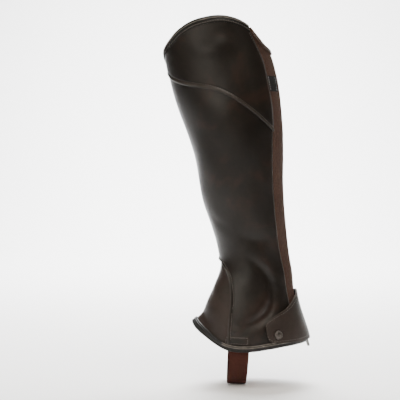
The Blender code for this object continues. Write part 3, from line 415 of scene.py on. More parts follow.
def leather_rub_and_highlight(angle, height):
    """Lighter along the gusset's folded edge and the rims of the sewn patches: partly rubbing, partly a
    painted highlight.
    """
    near_arch = 1 - ramp(height, APEX + 0.0005, APEX + 0.004)
    worn = near_arch * bell(beside_arch(angle, height), 0.0006, 0.0009)
    for patch in PATCHES:
        worn = worn + 0.8 * bell(np.maximum(*past_patch(angle, height, patch)), -0.0011, 0.0007)
    return worn


def below(t):
    """Share of the way from the apex down to the hem: crowded at both ends."""
    return np.sin(np.pi / 2 * (1 - t)) ** 2


def panel_places(left, right, s, t, low_inset=EDGE_INSET, high_inset=EDGE_INSET):
    """Angles and heights between two edges, each an angle by height, from hem to rim.

    Rows up to the share APEX_AT lie below the gusset's apex, and the rest climb evenly to the rim.
    """
    bottom, top = np.full(s.shape, HEM_ABOUT), np.full(s.shape, RIM_ABOUT)
    for _ in range(3):
        angle_low = left(bottom) + (right(bottom) - left(bottom)) * s
        angle_high = left(top) + (right(top) - left(top)) * s
        bottom = climb(angle_low, around(angle_low, HEM), low_inset)
        top = around(angle_high, RIM) - high_inset
    level = below(np.clip(t / APEX_AT, 0, 1))
    rising = np.clip((t - APEX_AT) / (1 - APEX_AT), 0, 1)
    height = np.where(t < APEX_AT - 1e-9, APEX - level * (APEX - bottom), APEX + rising * (top - APEX))
    return left(height) + (right(height) - left(height)) * s, height


def long_panel(left, right, top, *insets, wear_and_highlight=None):
    """Surface over panel_places, as far off the face as top gives, with its mask of rubbing and painted
    highlight.
    """
    def at(s, t):
        angle, height = panel_places(left, right, s, t, *insets)
        place = lifted(angle, height, top(angle, height))
        return (place, wear_and_highlight(angle, height)) if wear_and_highlight else place
    return at


def grid_faces(columns, rows):
    """Four corners of every cell of a grid, counted row by row."""
    corner = (np.arange(rows)[:, None] * (columns + 1) + np.arange(columns)[None, :]).ravel()
    return np.stack([corner, corner + 1, corner + columns + 2, corner + columns + 1], -1)


def mesh_from(name, points, faces, material, cloth=None, wear_and_highlight=None):
    """A mesh with smooth faces; cloth gives places on the cloth, and the last layer how rubbed it is and
    where a highlight is painted.
    """
    mesh = bpy.data.meshes.new(name)
    mesh.from_pydata(points.reshape(-1, 3).tolist(), [], faces.tolist())
    mesh.polygons.foreach_set("use_smooth", np.ones(len(mesh.polygons), bool))
    for layer, kind, field, values in (("cloth", "FLOAT_VECTOR", "vector", cloth),
                                       ("wear_and_highlight", "FLOAT", "value", wear_and_highlight)):
        if values is not None:
            data = mesh.attributes.new(layer, kind, "POINT").data
            data.foreach_set(field, np.ascontiguousarray(values, np.float32).ravel())
    for finish in material if isinstance(material, list) else [material]:
        mesh.materials.append(finish)
    piece = bpy.data.objects.new(name, mesh)
    bpy.context.scene.collection.objects.link(piece)
    return piece


def surface_mesh(name, patches, material):
    """Grids of (columns, rows, function) joined where they meet.

    The function turns the shares s and t into places, alone or with their mask of rubbing and painted
    highlight. cloth holds the length along s, the length along t and the share s.
    """
    points, faces, cloth, wear_and_highlight, count = [], [], [], [], 0
    for columns, rows, surface in patches:
        t, s = np.meshgrid(np.linspace(0, 1, rows + 1), np.linspace(0, 1, columns + 1), indexing="ij")
        place = surface(s, t)
        place, worn = place if isinstance(place, tuple) else (place, np.zeros(s.shape))
        along, upward = (np.concatenate([[0], np.linalg.norm(np.diff(place, axis=axis), axis=-1)
                                         .mean(1 - axis).cumsum()]) for axis in (1, 0))
        points.append(place.reshape(-1, 3))
        wear_and_highlight.append(worn.ravel())
        cloth.append(np.stack(np.broadcast_arrays(along, upward[:, None], s), -1).reshape(-1, 3))
        faces.append(grid_faces(columns, rows) + count)
        count += s.size
    piece = mesh_from(name, np.concatenate(points), np.concatenate(faces), material,
                      np.concatenate(cloth), np.concatenate(wear_and_highlight))
    if len(patches) > 1:
        piece.modifiers.new("join", "WELD").merge_threshold = 0.00002
    return piece


def wall(name, patches, thickness, material, outward=False, rounding=0.0003, rim_slot=0, even=False):
    """Cloth: a joined surface with a wall and softened edges."""
    piece = surface_mesh(name, patches, material)
    solid = piece.modifiers.new("thickness", "SOLIDIFY")
    solid.thickness = thickness
    solid.offset = 1.0 if outward else -1.0
    solid.use_even_offset = even
    solid.material_offset_rim = rim_slot
    edge = piece.modifiers.new("edges", "BEVEL")
    edge.width = rounding
    edge.segments = 2
    edge.limit_method = "ANGLE"
    edge.angle_limit = math.radians(55)
    return piece


def declare(piece, slot_name, *nodes):
    """The piece moves with the chap and stands in for the nodes; slot_name is not used."""
    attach(piece, "chap")
    if nodes:
        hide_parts(*nodes)
    return piece


# Materials

def new_material(name):
    material = bpy.data.materials.new(name)
    material.use_nodes = True
    return material, material.node_tree, material.node_tree.nodes["Principled BSDF"]


def feed(node, inputs):
    """Each input gets a link where its value is another node's output, or else a constant."""
    for key, value in inputs.items():
        if isinstance(value, bpy.types.NodeSocket):
            node.id_data.links.new(value, node.inputs[key])
        else:
            node.inputs[key].default_value = value
    return node


def add_node(tree, kind, inputs, **settings):
    node = tree.nodes.new(kind)
    for key, value in settings.items():
        setattr(node, key, value)
    return feed(node, inputs)


def object_place(tree):
    return add_node(tree, "ShaderNodeTexCoord", {}).outputs["Object"]


def attribute(tree, name, output):
    return add_node(tree, "ShaderNodeAttribute", {}, attribute_name=name).outputs[output]


def noise(tree, place, scale, detail=3.0, roughness=0.5, distortion=0.0):
    return add_node(tree, "ShaderNodeTexNoise", {
        "Vector": place, "Scale": scale, "Detail": detail, "Roughness": roughness,
        "Distortion": distortion}).outputs["Fac"]


def colour_steps(tree, factor, steps):
    """A colour ramp from (place, colour) steps."""
    node = add_node(tree, "ShaderNodeValToRGB", {"Fac": factor})
    elements = node.color_ramp.elements
    while len(elements) < len(steps):
        elements.new(0.5)
    for element, (place, colour) in zip(elements, steps):
        element.position = place
        element.color = (*colour, 1.0)
    return node.outputs["Color"]


def value_steps(tree, factor, low, high, to_low=0.0, to_high=1.0):
    return add_node(tree, "ShaderNodeMapRange", {
        "Value": factor, "From Min": low, "From Max": high, "To Min": to_low,
        "To Max": to_high}).outputs["Result"]


def maths(tree, operation, first, second=0.0):
    return add_node(tree, "ShaderNodeMath", {0: first, 1: second}, operation=operation).outputs[0]


def bump(tree, height, distance, strength=1.0, normal=None):
    inputs = {"Height": height, "Distance": distance, "Strength": strength}
    if normal is not None:
        inputs["Normal"] = normal
    return add_node(tree, "ShaderNodeBump", inputs).outputs["Normal"]


def mixed(tree, share, first, second):
    """A colour on its way from the first to a constant second."""
    return add_node(tree, "ShaderNodeMix", {"Factor": share, "A": first, "B": (*second, 1.0)},
                    data_type="RGBA").outputs["Result"]


def leather(name, dark, mid, warm, low_gloss, high_gloss, coat, grain=1.0,
            rub_and_highlight_colour=(0.026, 0.021, 0.0165)):
    """Smooth dyed leather: cloudy colour, fine pebbled grain, soft wrinkles and uneven polish."""
    material, tree, shader = new_material(name)
    place = object_place(tree)
    clouds = noise(tree, place, 17.0, 5.0, 0.6, 0.5)
    colour = colour_steps(tree, clouds, [(0.30, dark), (0.52, mid), (0.74, warm)])
    fine = noise(tree, place, 420.0, 2.0)
    speckled = mixed(tree, value_steps(tree, fine, 0.35, 0.7, 0.0, 0.22), colour, [1.5 * c for c in mid])
    patchy = value_steps(tree, noise(tree, place, 160.0, 3.0), 0.3, 0.7, 0.45, 1.0)
    # The mask lightens the colour towards the pale one and roughens it: partly rubbing, partly a painted
    # highlight on ridges and edges.
    rub_and_highlight = maths(tree, "MULTIPLY", attribute(tree, "wear_and_highlight", "Fac"), patchy)
    gloss = value_steps(tree, noise(tree, place, 31.0, 4.0, 0.65), 0.3, 0.72, low_gloss, high_gloss)
    cells = add_node(tree, "ShaderNodeTexVoronoi", {"Vector": place, "Scale": 900.0},
                     feature="DISTANCE_TO_EDGE").outputs["Distance"]
    soft = bump(tree, noise(tree, place, 62.0, 3.0, 0.45), 0.0007, 0.5)
    skin = bump(tree, value_steps(tree, cells, 0.0, 0.25), 0.00006 * grain, 0.5, soft)
    feed(shader, {"Base Color": mixed(tree, rub_and_highlight, speckled, rub_and_highlight_colour),
                  "Roughness": maths(tree, "ADD", gloss, maths(tree, "MULTIPLY", rub_and_highlight, 0.08)),
                  "Normal": bump(tree, fine, 0.00007 * grain, 0.5, skin),
                  "Specular IOR Level": 0.22, "Coat Weight": coat, "Coat Roughness": 0.30})
    return material


def suede(name, dark, mid, light):
    """Napped suede: short fibres in the bump, brushed light and dark patches and a soft sheen."""
    material, tree, shader = new_material(name)
    place = object_place(tree)
    brushed = noise(tree, place, 24.0, 5.0, 0.65, 1.2)
    nap = noise(tree, place, 1500.0, 2.0, 0.7)
    feed(shader, {"Base Color": colour_steps(tree, brushed, [(0.3, dark), (0.5, mid), (0.7, light)]),
                  "Normal": bump(tree, nap, 0.00025, 0.8), "Roughness": 0.92, "Specular IOR Level": 0.2,
                  "Sheen Weight": 0.35, "Sheen Roughness": 0.5, "Sheen Tint": (1.0, 0.72, 0.45, 1.0)})
    return material


def woven(name, dark, light, ribs_across, picks_along, sheen, depth=0.0003):
    """Woven tape: ribs across the cloth's first place, picks along its second, and a fuzz between."""
    material, tree, shader = new_material(name)
    parts = add_node(tree, "ShaderNodeSeparateXYZ", {"Vector": attribute(tree, "cloth", "Vector")}).outputs
    rib, pick = (maths(tree, "SINE", maths(tree, "MULTIPLY", parts[way], 2 * math.pi * count))
                 for way, count in (("X", ribs_across), ("Y", picks_along)))
    cell = maths(tree, "MULTIPLY", rib, pick)
    place = object_place(tree)
    fuzz = noise(tree, place, 700.0, 3.0, 0.7)
    shade = maths(tree, "MULTIPLY", cell, 0.22)
    for layer, share in ((fuzz, 0.9), (noise(tree, place, 20.0, 4.0), 0.35)):
        shade = maths(tree, "ADD", shade, maths(tree, "MULTIPLY", layer, share))
    feed(shader, {"Base Color": colour_steps(tree, shade, [(0.25, dark), (0.95, light)]),
                  "Normal": bump(tree, fuzz, depth * 0.6, 0.5, bump(tree, cell, depth, 0.7)),
                  "Roughness": 0.8, "Specular IOR Level": 0.14, "Sheen Weight": sheen,
                  "Sheen Roughness": 0.4})
    return material


def dark_metal(name, dark, light, low_gloss, high_gloss):
    """Plated metal with fine brushing, rubbed lighter in places."""
    material, tree, shader = new_material(name)
    place = object_place(tree)
    worn = noise(tree, place, 260.0, 4.0, 0.7)
    feed(shader, {"Base Color": colour_steps(tree, worn, [(0.35, dark), (0.75, light)]),
                  "Roughness": value_steps(tree, worn, 0.3, 0.7, low_gloss, high_gloss),
                  "Normal": bump(tree, noise(tree, place, 2600.0, 2.0), 0.00003, 0.5), "Metallic": 1.0})
    return material


def thread(name, dark, light):
    """Twisted sewing thread."""
    material, tree, shader = new_material(name)
    twist = noise(tree, object_place(tree), 1800.0, 1.0)
    feed(shader, {"Base Color": colour_steps(tree, twist, [(0.35, dark), (0.65, light)]),
                  "Roughness": 0.6, "Sheen Weight": 0.3, "Specular IOR Level": 0.4})
    return material


SMOOTH_LEATHER = leather("smooth_leather", (0.0046, 0.0032, 0.0021), (0.0074, 0.0049, 0.0032),
                         (0.0215, 0.0096, 0.0054), 0.285, 0.40, 0.04)
YOKE_LEATHER = leather("yoke_leather", (0.0050, 0.0035, 0.0023), (0.0078, 0.0052, 0.0034),
                       (0.0215, 0.0098, 0.0056), 0.285, 0.40, 0.04)
GUSSET_LEATHER = leather("gusset_leather", (0.0110, 0.0070, 0.0048), (0.0175, 0.0108, 0.0080),
                         (0.0255, 0.0140, 0.0105), 0.36, 0.50, 0.02, 1.5)
# The binding's last, pale colour is a painted highlight: thin glint lines on the crests of its ridges.
BINDING_LEATHER = leather("binding_leather", (0.0034, 0.0028, 0.0021), (0.0054, 0.0043, 0.0033),
                          (0.0090, 0.0060, 0.0044), 0.32, 0.44, 0.0, 0.8, (0.135, 0.117, 0.100))
TAB_LEATHER = leather("tab_leather", (0.0110, 0.0072, 0.0054), (0.0172, 0.0112, 0.0084),
                      (0.0260, 0.0150, 0.0110), 0.46, 0.60, 0.0)
CUT_EDGE = leather("cut_leather_edge", (0.040, 0.026, 0.018), (0.065, 0.042, 0.029),
                   (0.085, 0.055, 0.038), 0.55, 0.75, 0.0, 1.2)
SUEDE = suede("tan_suede", (0.23, 0.076, 0.018), (0.33, 0.115, 0.028), (0.42, 0.165, 0.048))
CREAM_EDGE = suede("suede_cut_edge", (0.50, 0.33, 0.18), (0.60, 0.42, 0.25), (0.68, 0.50, 0.32))
ELASTIC = woven("ribbed_elastic", (0.022, 0.0115, 0.0080), (0.090, 0.050, 0.037), 1450.0, 900.0, 0.0)
ELASTIC_TAPE = woven("ribbed_edge_tape", (0.021, 0.0115, 0.0085), (0.086, 0.049, 0.037), 800.0, 1100.0, 0.0)
STRAP_WEAVE = woven("strap_weave", (0.024, 0.0062, 0.0040), (0.062, 0.0200, 0.0138), 620.0, 760.0, 0.0)
ZIP_WEAVE = woven("zip_tape_weave", (0.008, 0.006, 0.005), (0.032, 0.024, 0.019), 1300.0, 1300.0, 0.1)
LABEL_WEAVE = woven("label_ribbon", (0.0045, 0.0038, 0.0034), (0.015, 0.013, 0.0115), 1500.0, 2000.0, 0.0)
GUNMETAL = dark_metal("gunmetal", (0.075, 0.070, 0.065), (0.21, 0.20, 0.185), 0.28, 0.45)
STUD_METAL = dark_metal("stud_gunmetal", (0.055, 0.048, 0.042), (0.17, 0.15, 0.135), 0.30, 0.46)
THREAD = thread("brown_thread", (0.022, 0.016, 0.012), (0.070, 0.053, 0.042))
PALE_THREAD = thread("grey_thread", (0.28, 0.27, 0.26), (0.48, 0.46, 0.44))
COIL = thread("zip_coil_nylon", (0.018, 0.013, 0.010), (0.045, 0.034, 0.027))


# Cloth pieces

def make_outer_leather():
    """Leather from the inner front round the outer side, open at the front for the gusset."""
    broad = long_panel(lambda h: front_edge(h, 1), lambda h: seam("elastic", h) - SEAM_HALF,
                       leather_top, wear_and_highlight=leather_rub_and_highlight)
    strip = long_panel(lambda h: seam("inner_front", h) + SEAM_HALF, lambda h: front_edge(h, -1),
                       leather_top, wear_and_highlight=leather_rub_and_highlight)
    return wall("outer_leather", [(110, 190, broad), (34, 190, strip)], LEATHER, SMOOTH_LEATHER)


def make_inner_leather():
    """Leather from the zip round the inner side to the inner front seam."""
    surface = long_panel(lambda h: zip_side(h, 1), lambda h: 360 + seam("inner_front", h) - SEAM_HALF,
                         leather_top, wear_and_highlight=leather_rub_and_highlight)
    return wall("inner_leather", [(84, 190, surface)], LEATHER, SMOOTH_LEATHER)


def make_lining():
    """Suede just under the leather, from the zip's inner side round the front to the elastic."""
    surface = long_panel(lambda h: past_back(h, ZIP_PAST_BACK + ZIP_WINDOW / 2 + 0.001) - 360,
                         lambda h: seam("elastic", h) - 3 * SEAM_HALF, lambda a, h: -lining_depth(a, h))
    return wall("suede_lining", [(110, 120, surface)], LINING_WALL, [SUEDE, CREAM_EDGE],
                rounding=0.0002, rim_slot=1)


def make_gusset():
    """Soft leather tucked under the arch: its angle is a share of a slightly wider and higher arch."""
    def at(s, t):
        side = 2 * s - 1
        low_angle = side * (GUSSET_ANGLE + GUSSET_TUCK)
        low = climb(low_angle, around(low_angle, HEM), EDGE_INSET)
        height = GUSSET_TOP - below(t) * (GUSSET_TOP - low)
        angle = side * arch(height, GUSSET_ANGLE + GUSSET_TUCK, GUSSET_RISE + GUSSET_TUCK_UP)
        soft = 0.00035 * np.sin(np.radians(angle) * 7 + height * 160) * np.sin(height * 95 + 1.0)
        return lifted(angle, height, -GUSSET_DEPTH + soft - 0.0004 * ramp(height, -0.205, -0.193))
    return wall("instep_gusset", [(64, 70, at)], GUSSET_WALL, GUSSET_LEATHER)


def yoke_low(angle):
    """Height of the yoke's swept lower edge."""
    return smooth(angle, YOKE["angle"], YOKE["height"])


def make_yoke():
    """Leather overlay: rows share the way from its swept lower edge to the top band.

    Its lower edge is folded, a soft ridge along it with a groove above for the stitches.
    """
    def rise(angle, t):
        low = yoke_low(angle)
        high = np.maximum(top_fall(angle, TOP_BAND - 0.001), low + YOKE_SLIVER)
        return low + (high - low) * t

    def lift(angle, height):
        above = height - yoke_low(angle)
        to_seam = (seam("elastic", height) - angle) * METRES_PER_DEGREE
        return (YOKE_LIFT + ramp(angle, -4.0, 14.0) * bells(above, [YOKE_RIDGE])
                + bells(above, [YOKE_GROOVE]) - 0.0006 * bell(to_seam, 0.0, 0.0011))

    def patch(name, half, share):
        def at(s, t):
            angle = np.zeros(s.shape)
            for _ in range(5):
                angle = (seam(name, rise(angle, t ** 1.3)) + half) * share(s)
            height = rise(angle, t ** 1.3)
            # Lighter along the folded ridge: partly rubbing, partly a painted highlight.
            worn = bell(height - yoke_low(angle), 0.0024, 0.0020)
            return lifted(angle, height, lift(angle, height)), worn
        return at

    broad = patch("elastic", -SEAM_HALF, lambda s: s)
    front = patch("inner_front", SEAM_HALF, lambda s: (1 - s) * 0.75)
    return wall("yoke_overlay", [(110, 64, broad), (22, 64, front)], YOKE_WALL, YOKE_LEATHER,
                outward=True, rounding=0.0004)


def make_elastic():
    """Elastic whose outer face rises and falls as a cosine across it, once for each rib."""
    def at(s, t):
        angle, height = panel_places(lambda h: seam("elastic", h) + SEAM_HALF,
                                     lambda h: zip_side(h, -1), s, t, high_inset=0.0022)
        groove = 0.0005 * (0.5 + 0.5 * np.cos(2 * np.pi * RIBS * s)) ** 2
        pull = 0.00012 * np.sin(height * 2 * np.pi / STITCH_PITCH)
        return lifted(angle, height, -ELASTIC_DEPTH - groove + pull)
    return wall("ribbed_elastic_panel", [(8 * RIBS, 230, at)], ELASTIC_WALL, ELASTIC, rounding=0.0002)


def fold_profile(outer, inner, width, relief):
    """A fold in section: down the outer leg, round the edge in a half circle, up the inner leg.

    It gives each point's place off the face and its distance from the cloth's edge.
    """
    share, turn = np.linspace(0, 1, 22), np.linspace(0, np.pi, 11)[1:-1]
    outer, inner = outer[:, None], inner[:, None]
    off = np.concatenate([outer + 0 * share + bells(share, relief),
                          (outer + inner) / 2 + (outer - inner) / 2 * np.cos(turn),
                          inner + 0 * share], 1)
    far = np.concatenate([width + (FOLD - width) * share, FOLD - FOLD_BULGE * np.sin(turn),
                          FOLD + (width - FOLD) * share])
    return off, np.broadcast_to(far, off.shape)


def binding(name, stations, place, outer, inner, width, relief, gather, material, flip=False):
    """A fold carried along its stations, with gathers pushed out of its outer leg and a painted highlight on
    its ridges.
    """
    off, far = (part[:, ::-1].T if flip else part.T for part in fold_profile(outer, inner, width, relief))
    angle = np.broadcast_to(stations, off.shape)
    on_face = ramp(off, -0.001, 0.0) if flip else ramp(off, 0.0, 0.0003)
    off = off + gather(angle, far) * on_face
    points = lifted(angle, place(angle, far), off)
    raised = bells((width - far) / (width - FOLD), relief) * on_face
    # Narrow lines on the ridges' crests take the pale colour: a painted highlight.
    worn = np.clip(raised / max(raised.max(), 1e-6), 0, 1) ** RIDGE_HIGHLIGHT_POWER
    return wall(name, [(len(stations) - 1, len(off) - 1, lambda s, t: (points, worn))], BINDING_WALL,
                material, outward=True, even=True)


def rim_run(inset_start, inset_end):
    """The top band's first and last angle, from the zip round the front to the elastic."""
    return zip_side(RIM_BY_ZIP, 1) - 360.0 + inset_start, seam("elastic", RIM_BAND_END) - inset_end


def elastic_run(inset):
    """The elastic's first and last angle at the rim."""
    return seam("elastic", RIM_BY_ELASTIC) + inset, zip_side(RIM_BY_ZIP, -1) - inset


def hem_run(inset):
    """The hem band's first and last angle, from the zip round the front to the zip."""
    return zip_side(HEM_BY_ZIP, 1) - 360.0 + inset, zip_side(HEM_BY_ZIP, -1) - inset


def make_top_band():
    """Folded leather over the rim with two soft rolls, its gathers a wave that is strongest at the front."""
    stations = np.linspace(*rim_run(0.0, SEAM_HALF), 420)
    inner = -(LINING_DEPTH + LINING_WALL + LAYER_GAP + 0.0003)

    def gather(angle, far):
        window = bell(angle, 16, 24) + 0.35 * bell(angle, -60, 40) + 0.15
        wave = np.sin(angle * 1.9 + 2.2 * np.sin(angle * 0.31))
        return 0.00042 * window * wave * ramp(far, 0.001, 0.005)
    return binding("top_band", stations, top_fall, LAYER_GAP + 0 * stations, inner + 0 * stations,
                   TOP_BAND, TOP_ROLLS, gather, BINDING_LEATHER)


def make_elastic_band():
    """Ribbed tape folded over the elastic's top edge, its ribs a sine round the leg."""
    stations = np.linspace(*elastic_run(SEAM_HALF), 90)
    inner = -(ELASTIC_DEPTH + ELASTIC_WALL + LAYER_GAP)
    return binding("elastic_edge_tape", stations, top_fall, 0 * stations, inner + 0 * stations,
                   ELASTIC_BAND, [], lambda angle, far: 0.00006 * np.sin(angle * 9.0), ELASTIC_TAPE)


def hem_place(angle, distance):
    """Height that lies distance up the face from the hem."""
    return climb(angle, around(angle, HEM), distance)


def hem_off(angle):
    """How far the hem band's outer leg stands off the face: sunk at the front, where it holds the gusset."""
    return LAYER_GAP - GUSSET_DEPTH * (1 - ramp(np.abs(angle), GUSSET_ANGLE - 11.0, GUSSET_ANGLE + 3.0))


def make_hem_band():
    """Folded leather over the hem with two ridges, slightly uneven along its run."""
    stations = np.linspace(*hem_run(0.0), 420)
    inner = -(lining_depth(stations, HEM_BY_ZIP) + LINING_WALL + LAYER_GAP + 0.0001)
    return binding("hem_band", stations, hem_place, hem_off(stations), inner, HEM_BAND, HEM_RIDGES,
                   lambda angle, far: 0.00012 * np.sin(angle * 1.3 + 1.5 * np.sin(angle * 0.23)),
                   BINDING_LEATHER, flip=True)


def tab_place(s, t):
    """Angle, height and lift of a place on the closing tab, from its edges' table."""
    column = s * (len(TAB["angle"]) - 1)
    knots = np.arange(len(TAB["angle"]), dtype=float)
    angle, upper, lower, off_top, off_bottom = (smooth(column, knots, TAB[name]) for name in TAB)
    return angle, lower + (upper - lower) * t, off_bottom + (off_top - off_bottom) * t


def make_tab():
    """Leather wrapped over the zip's end, slightly domed between its edges, which are rubbed."""
    def at(s, t):
        angle, height, off = tab_place(s, t)
        inset = np.minimum(np.minimum(s, 1 - s) * 12, np.minimum(t, 1 - t) * 5)
        return lifted(angle, height, off + 0.00025 * ramp(inset, 0.0, 1.0)), bell(inset, 0.0, 0.16)
    return wall("closing_tab", [(150, 40, at)], TAB_WALL, [TAB_LEATHER, CUT_EDGE], outward=True,
                rounding=0.0005, rim_slot=1)


def label_angle(height, share):
    """Angle at a share of the way across the label."""
    return seam("elastic", height) + 2 * SEAM_HALF + LABEL_SPAN * share


def make_label():
    """A bare folded ribbon, its ends sewn down, a little fuller in the middle."""
    def at(s, t):
        height = LABEL_LOW + (LABEL_HIGH - LABEL_LOW) * t
        return lifted(label_angle(height, s), height, 0.0001 + 0.0003 * np.sin(np.pi * s) * np.sin(np.pi * t))
    return wall("woven_label", [(30, 30, at)], LABEL_WALL, LABEL_WEAVE, outward=True, rounding=0.0002)


def strap_point(s, t):
    """Middle face of the strap: down inside the hem, under the boot as half an ellipse, and up again.

    s runs across it from the toe side and t along it from the outer side's top.
    """
    upright = 0.13
    depth = LINING_BEHIND_GUSSET + LINING_WALL + 3 * LAYER_GAP + BINDING_WALL
    x = STRAP_MIDDLE + STRAP_WIDTH * (s - 0.5)

    def inside(height, side):
        front, back = sections(height, "front", "back")
        middle = front + WIDEST * (back - front)
        reach = np.where(x < middle, middle - front, back - middle)
        angle = np.degrees(np.arccos((middle - x) / reach))
        return lifted(side * angle, height, np.full(x.shape, -depth))

    level = np.full(x.shape, STRAP_STRAIGHT)
    outer_edge, inner_edge = inside(level, 1), inside(level, -1)
    from_top = np.clip(np.minimum(t, 1 - t) / upright, 0, 1)
    side = np.where(t < 0.5, 1, -1)
    upper = inside(STRAP_TOP + (STRAP_STRAIGHT - STRAP_TOP) * from_top, side)
    turn = np.pi * np.clip((t - upright) / (1 - 2 * upright), 0, 1)
    centre, half = (outer_edge + inner_edge)[..., 1] / 2, (inner_edge - outer_edge)[..., 1] / 2
    loop_x = (outer_edge[..., 0] + (inner_edge - outer_edge)[..., 0] * (1 - np.cos(turn)) / 2
              + STRAP_SHIFT * np.sin(turn))
    drop = (STRAP_STRAIGHT - STRAP_BOTTOM) * np.sin(turn)
    loop = np.stack([loop_x, centre - half * np.cos(turn), STRAP_STRAIGHT - drop], -1)
    return np.where((from_top < 1)[..., None], upper, loop)


def make_strap():
    return wall("stirrup_elastic", [(40, 150, strap_point)], STRAP_WALL, STRAP_WEAVE, outward=True,
                rounding=0.0004)


def make_zip_tape(name, side):
    """One tape, from just past the zip's middle to just short of its window's edge."""
    start, end = sorted(ZIP_PAST_BACK + side * off for off in (0.0002, ZIP_WINDOW / 2 - 0.0004))
    surface = long_panel(lambda h: past_back(h, start), lambda h: past_back(h, end),
                         lambda a, h: -TAPE_DEPTH + 0 * a, 0.0010, 0.0012)
    return wall(name, [(6, 150, surface)], TAPE_WALL, ZIP_WEAVE, rounding=0.0002)


# Small repeated shapes

def frames_along(angle, height):
    """Places and unit vectors (across, up, out) for arrays of angles and heights."""
    return face(angle, height), directions(angle, height)


def repeated(name, shape, faces, origins, axes, material):
    """Copies of a small shape, each at its origin with its own three axes, as one mesh."""
    placed = origins[:, None, :] + np.einsum("vk,nkc->nvc", shape, axes)
    step = (np.arange(len(origins)) * len(shape))[:, None, None]
    return mesh_from(name, placed, (faces[None] + step).reshape(-1, faces.shape[1]), material)


def ring_faces(rings, sides):
    """Four corners of every cell between closed rings of points."""
    row, column = np.meshgrid(np.arange(rings - 1), np.arange(sides), indexing="ij")
    a, b = row * sides + column, row * sides + (column + 1) % sides
    return np.stack([a, b, b + sides, a + sides], -1).reshape(-1, 4)


def tube(points, radius, sides=6):
    """Rings of a round bar along points, each square to the path, and their faces."""
    points = np.asarray(points, float)
    ahead = unit(np.gradient(points, axis=0))
    first = unit(np.cross(ahead, [0.31, 0.95, 0.05]))
    second = np.cross(ahead, first)
    turn = np.linspace(0, 2 * np.pi, sides, endpoint=False)
    radius = np.broadcast_to(radius, (len(points),))[:, None, None]
    ring = np.cos(turn)[None, :, None] * first[:, None] + np.sin(turn)[None, :, None] * second[:, None]
    return (points[:, None] + radius * ring).reshape(-1, 3), ring_faces(len(points), sides)


def resampled(angle, height, pitch):
    """Places at an even pitch along a line on the face."""
    line = face(angle, height)
    run = np.concatenate([[0], np.linalg.norm(np.diff(line, axis=0), axis=1).cumsum()])
    at = np.arange(pitch / 2, run[-1], pitch)
    return np.interp(at, run, angle), np.interp(at, run, height)


STITCH_SHAPE = tube([(x * STITCH_LONG / 2, 0, z * THREAD_RADIUS) for x, z in
                     ((-1.0, -1.2), (-0.9, -0.3), (-0.45, 0.25), (0.45, 0.25), (0.9, -0.3), (1.0, -1.2))],
                    np.array([0.35, 0.85, 1.0, 1.0, 0.85, 0.35]) * THREAD_RADIUS)


def stitches(name, rows, material=THREAD, pitch=STITCH_PITCH):
    """Rows of sewing: each row is its angles, heights and lift off the face."""
    origins, axes = [], []
    for angle, height, lift in rows:
        lift_line = np.broadcast_to(np.asarray(lift, float), angle.shape)
        run = np.arange(len(angle), dtype=float)
        even_angle, even_height = resampled(angle, height, pitch)
        nearest = np.interp(even_angle, np.sort(angle), run[np.argsort(angle)])
        even_lift = np.interp(nearest, run, lift_line)
        place, (across, up, out) = frames_along(even_angle, even_height)
        ahead = np.gradient(place, axis=0)
        ahead = unit(ahead - out * (ahead * out).sum(1, keepdims=True))
        origins.append(place + out * even_lift[:, None])
        axes.append(np.stack([ahead, np.cross(out, ahead), out], 1))
    return repeated(name, *STITCH_SHAPE, np.concatenate(origins), np.concatenate(axes), material)


def upright(low, high, count, angle_of, lift=0.0, where=None):
    """A row that climbs from low to high at the angles of angle_of, kept only where it may be."""
    height = np.linspace(low, high, count)
    angle = angle_of(height)
    off = lift(angle, height) if callable(lift) else np.full(count, lift)
    shown = where(angle, height) if where else np.full(count, True)
    return angle[shown], height[shown], off[shown]


def sew_leather():
    """Rows on the smooth leather: round the gusset's arch, beside the long seams and the zip."""
    turn = np.linspace(-1, 1, 400) * np.pi / 2
    height = APEX - GUSSET_RISE + 0.0028 + GUSSET_RISE * np.cos(turn)
    angle = (GUSSET_ANGLE + BESIDE_ARCH) * np.sin(turn)
    rows = [(angle, height, leather_top(angle, height))]
    for side in (-1, 1):
        rows.append(upright(-0.2865, APEX - GUSSET_RISE, 90,
                            lambda h: side * (GUSSET_ANGLE + BESIDE_ARCH) + 0 * h, leather_top))
    rows.append(upright(ROWS_FROM, 0.098, 500, lambda h: seam("elastic", h) - BESIDE_SEAM,
                        where=lambda a, h: h < yoke_low(a) - 0.001))
    for step in (-BESIDE_SEAM, BESIDE_SEAM):
        rows.append(upright(ROWS_FROM, 0.047, 400, lambda h: seam("inner_front", h) + step, leather_top,
                            lambda a, h: np.abs(a) > arch(h) * (h < APEX) + 5))
    rows.append(upright(ROWS_FROM, 0.062, 400,
                        lambda h: past_back(h, ZIP_PAST_BACK + ZIP_WINDOW / 2 + 0.0022)))
    return stitches("stitching_leather", rows)


def sew_yoke():
    """Rows in the groove above the yoke's folded edge and beside the elastic."""
    angle = np.linspace(-30, 138.5, 500)
    height = yoke_low(angle) + YOKE_GROOVE[0]
    on_yoke = height < top_fall(angle, TOP_BAND) - 0.001
    rows = [(angle[on_yoke], height[on_yoke], YOKE_LIFT + YOKE_WALL - 0.0004),
            upright(-0.026, 0.094, 220, lambda h: seam("elastic", h) - BESIDE_SEAM, YOKE_LIFT + YOKE_WALL)]
    return stitches("stitching_yoke", rows)


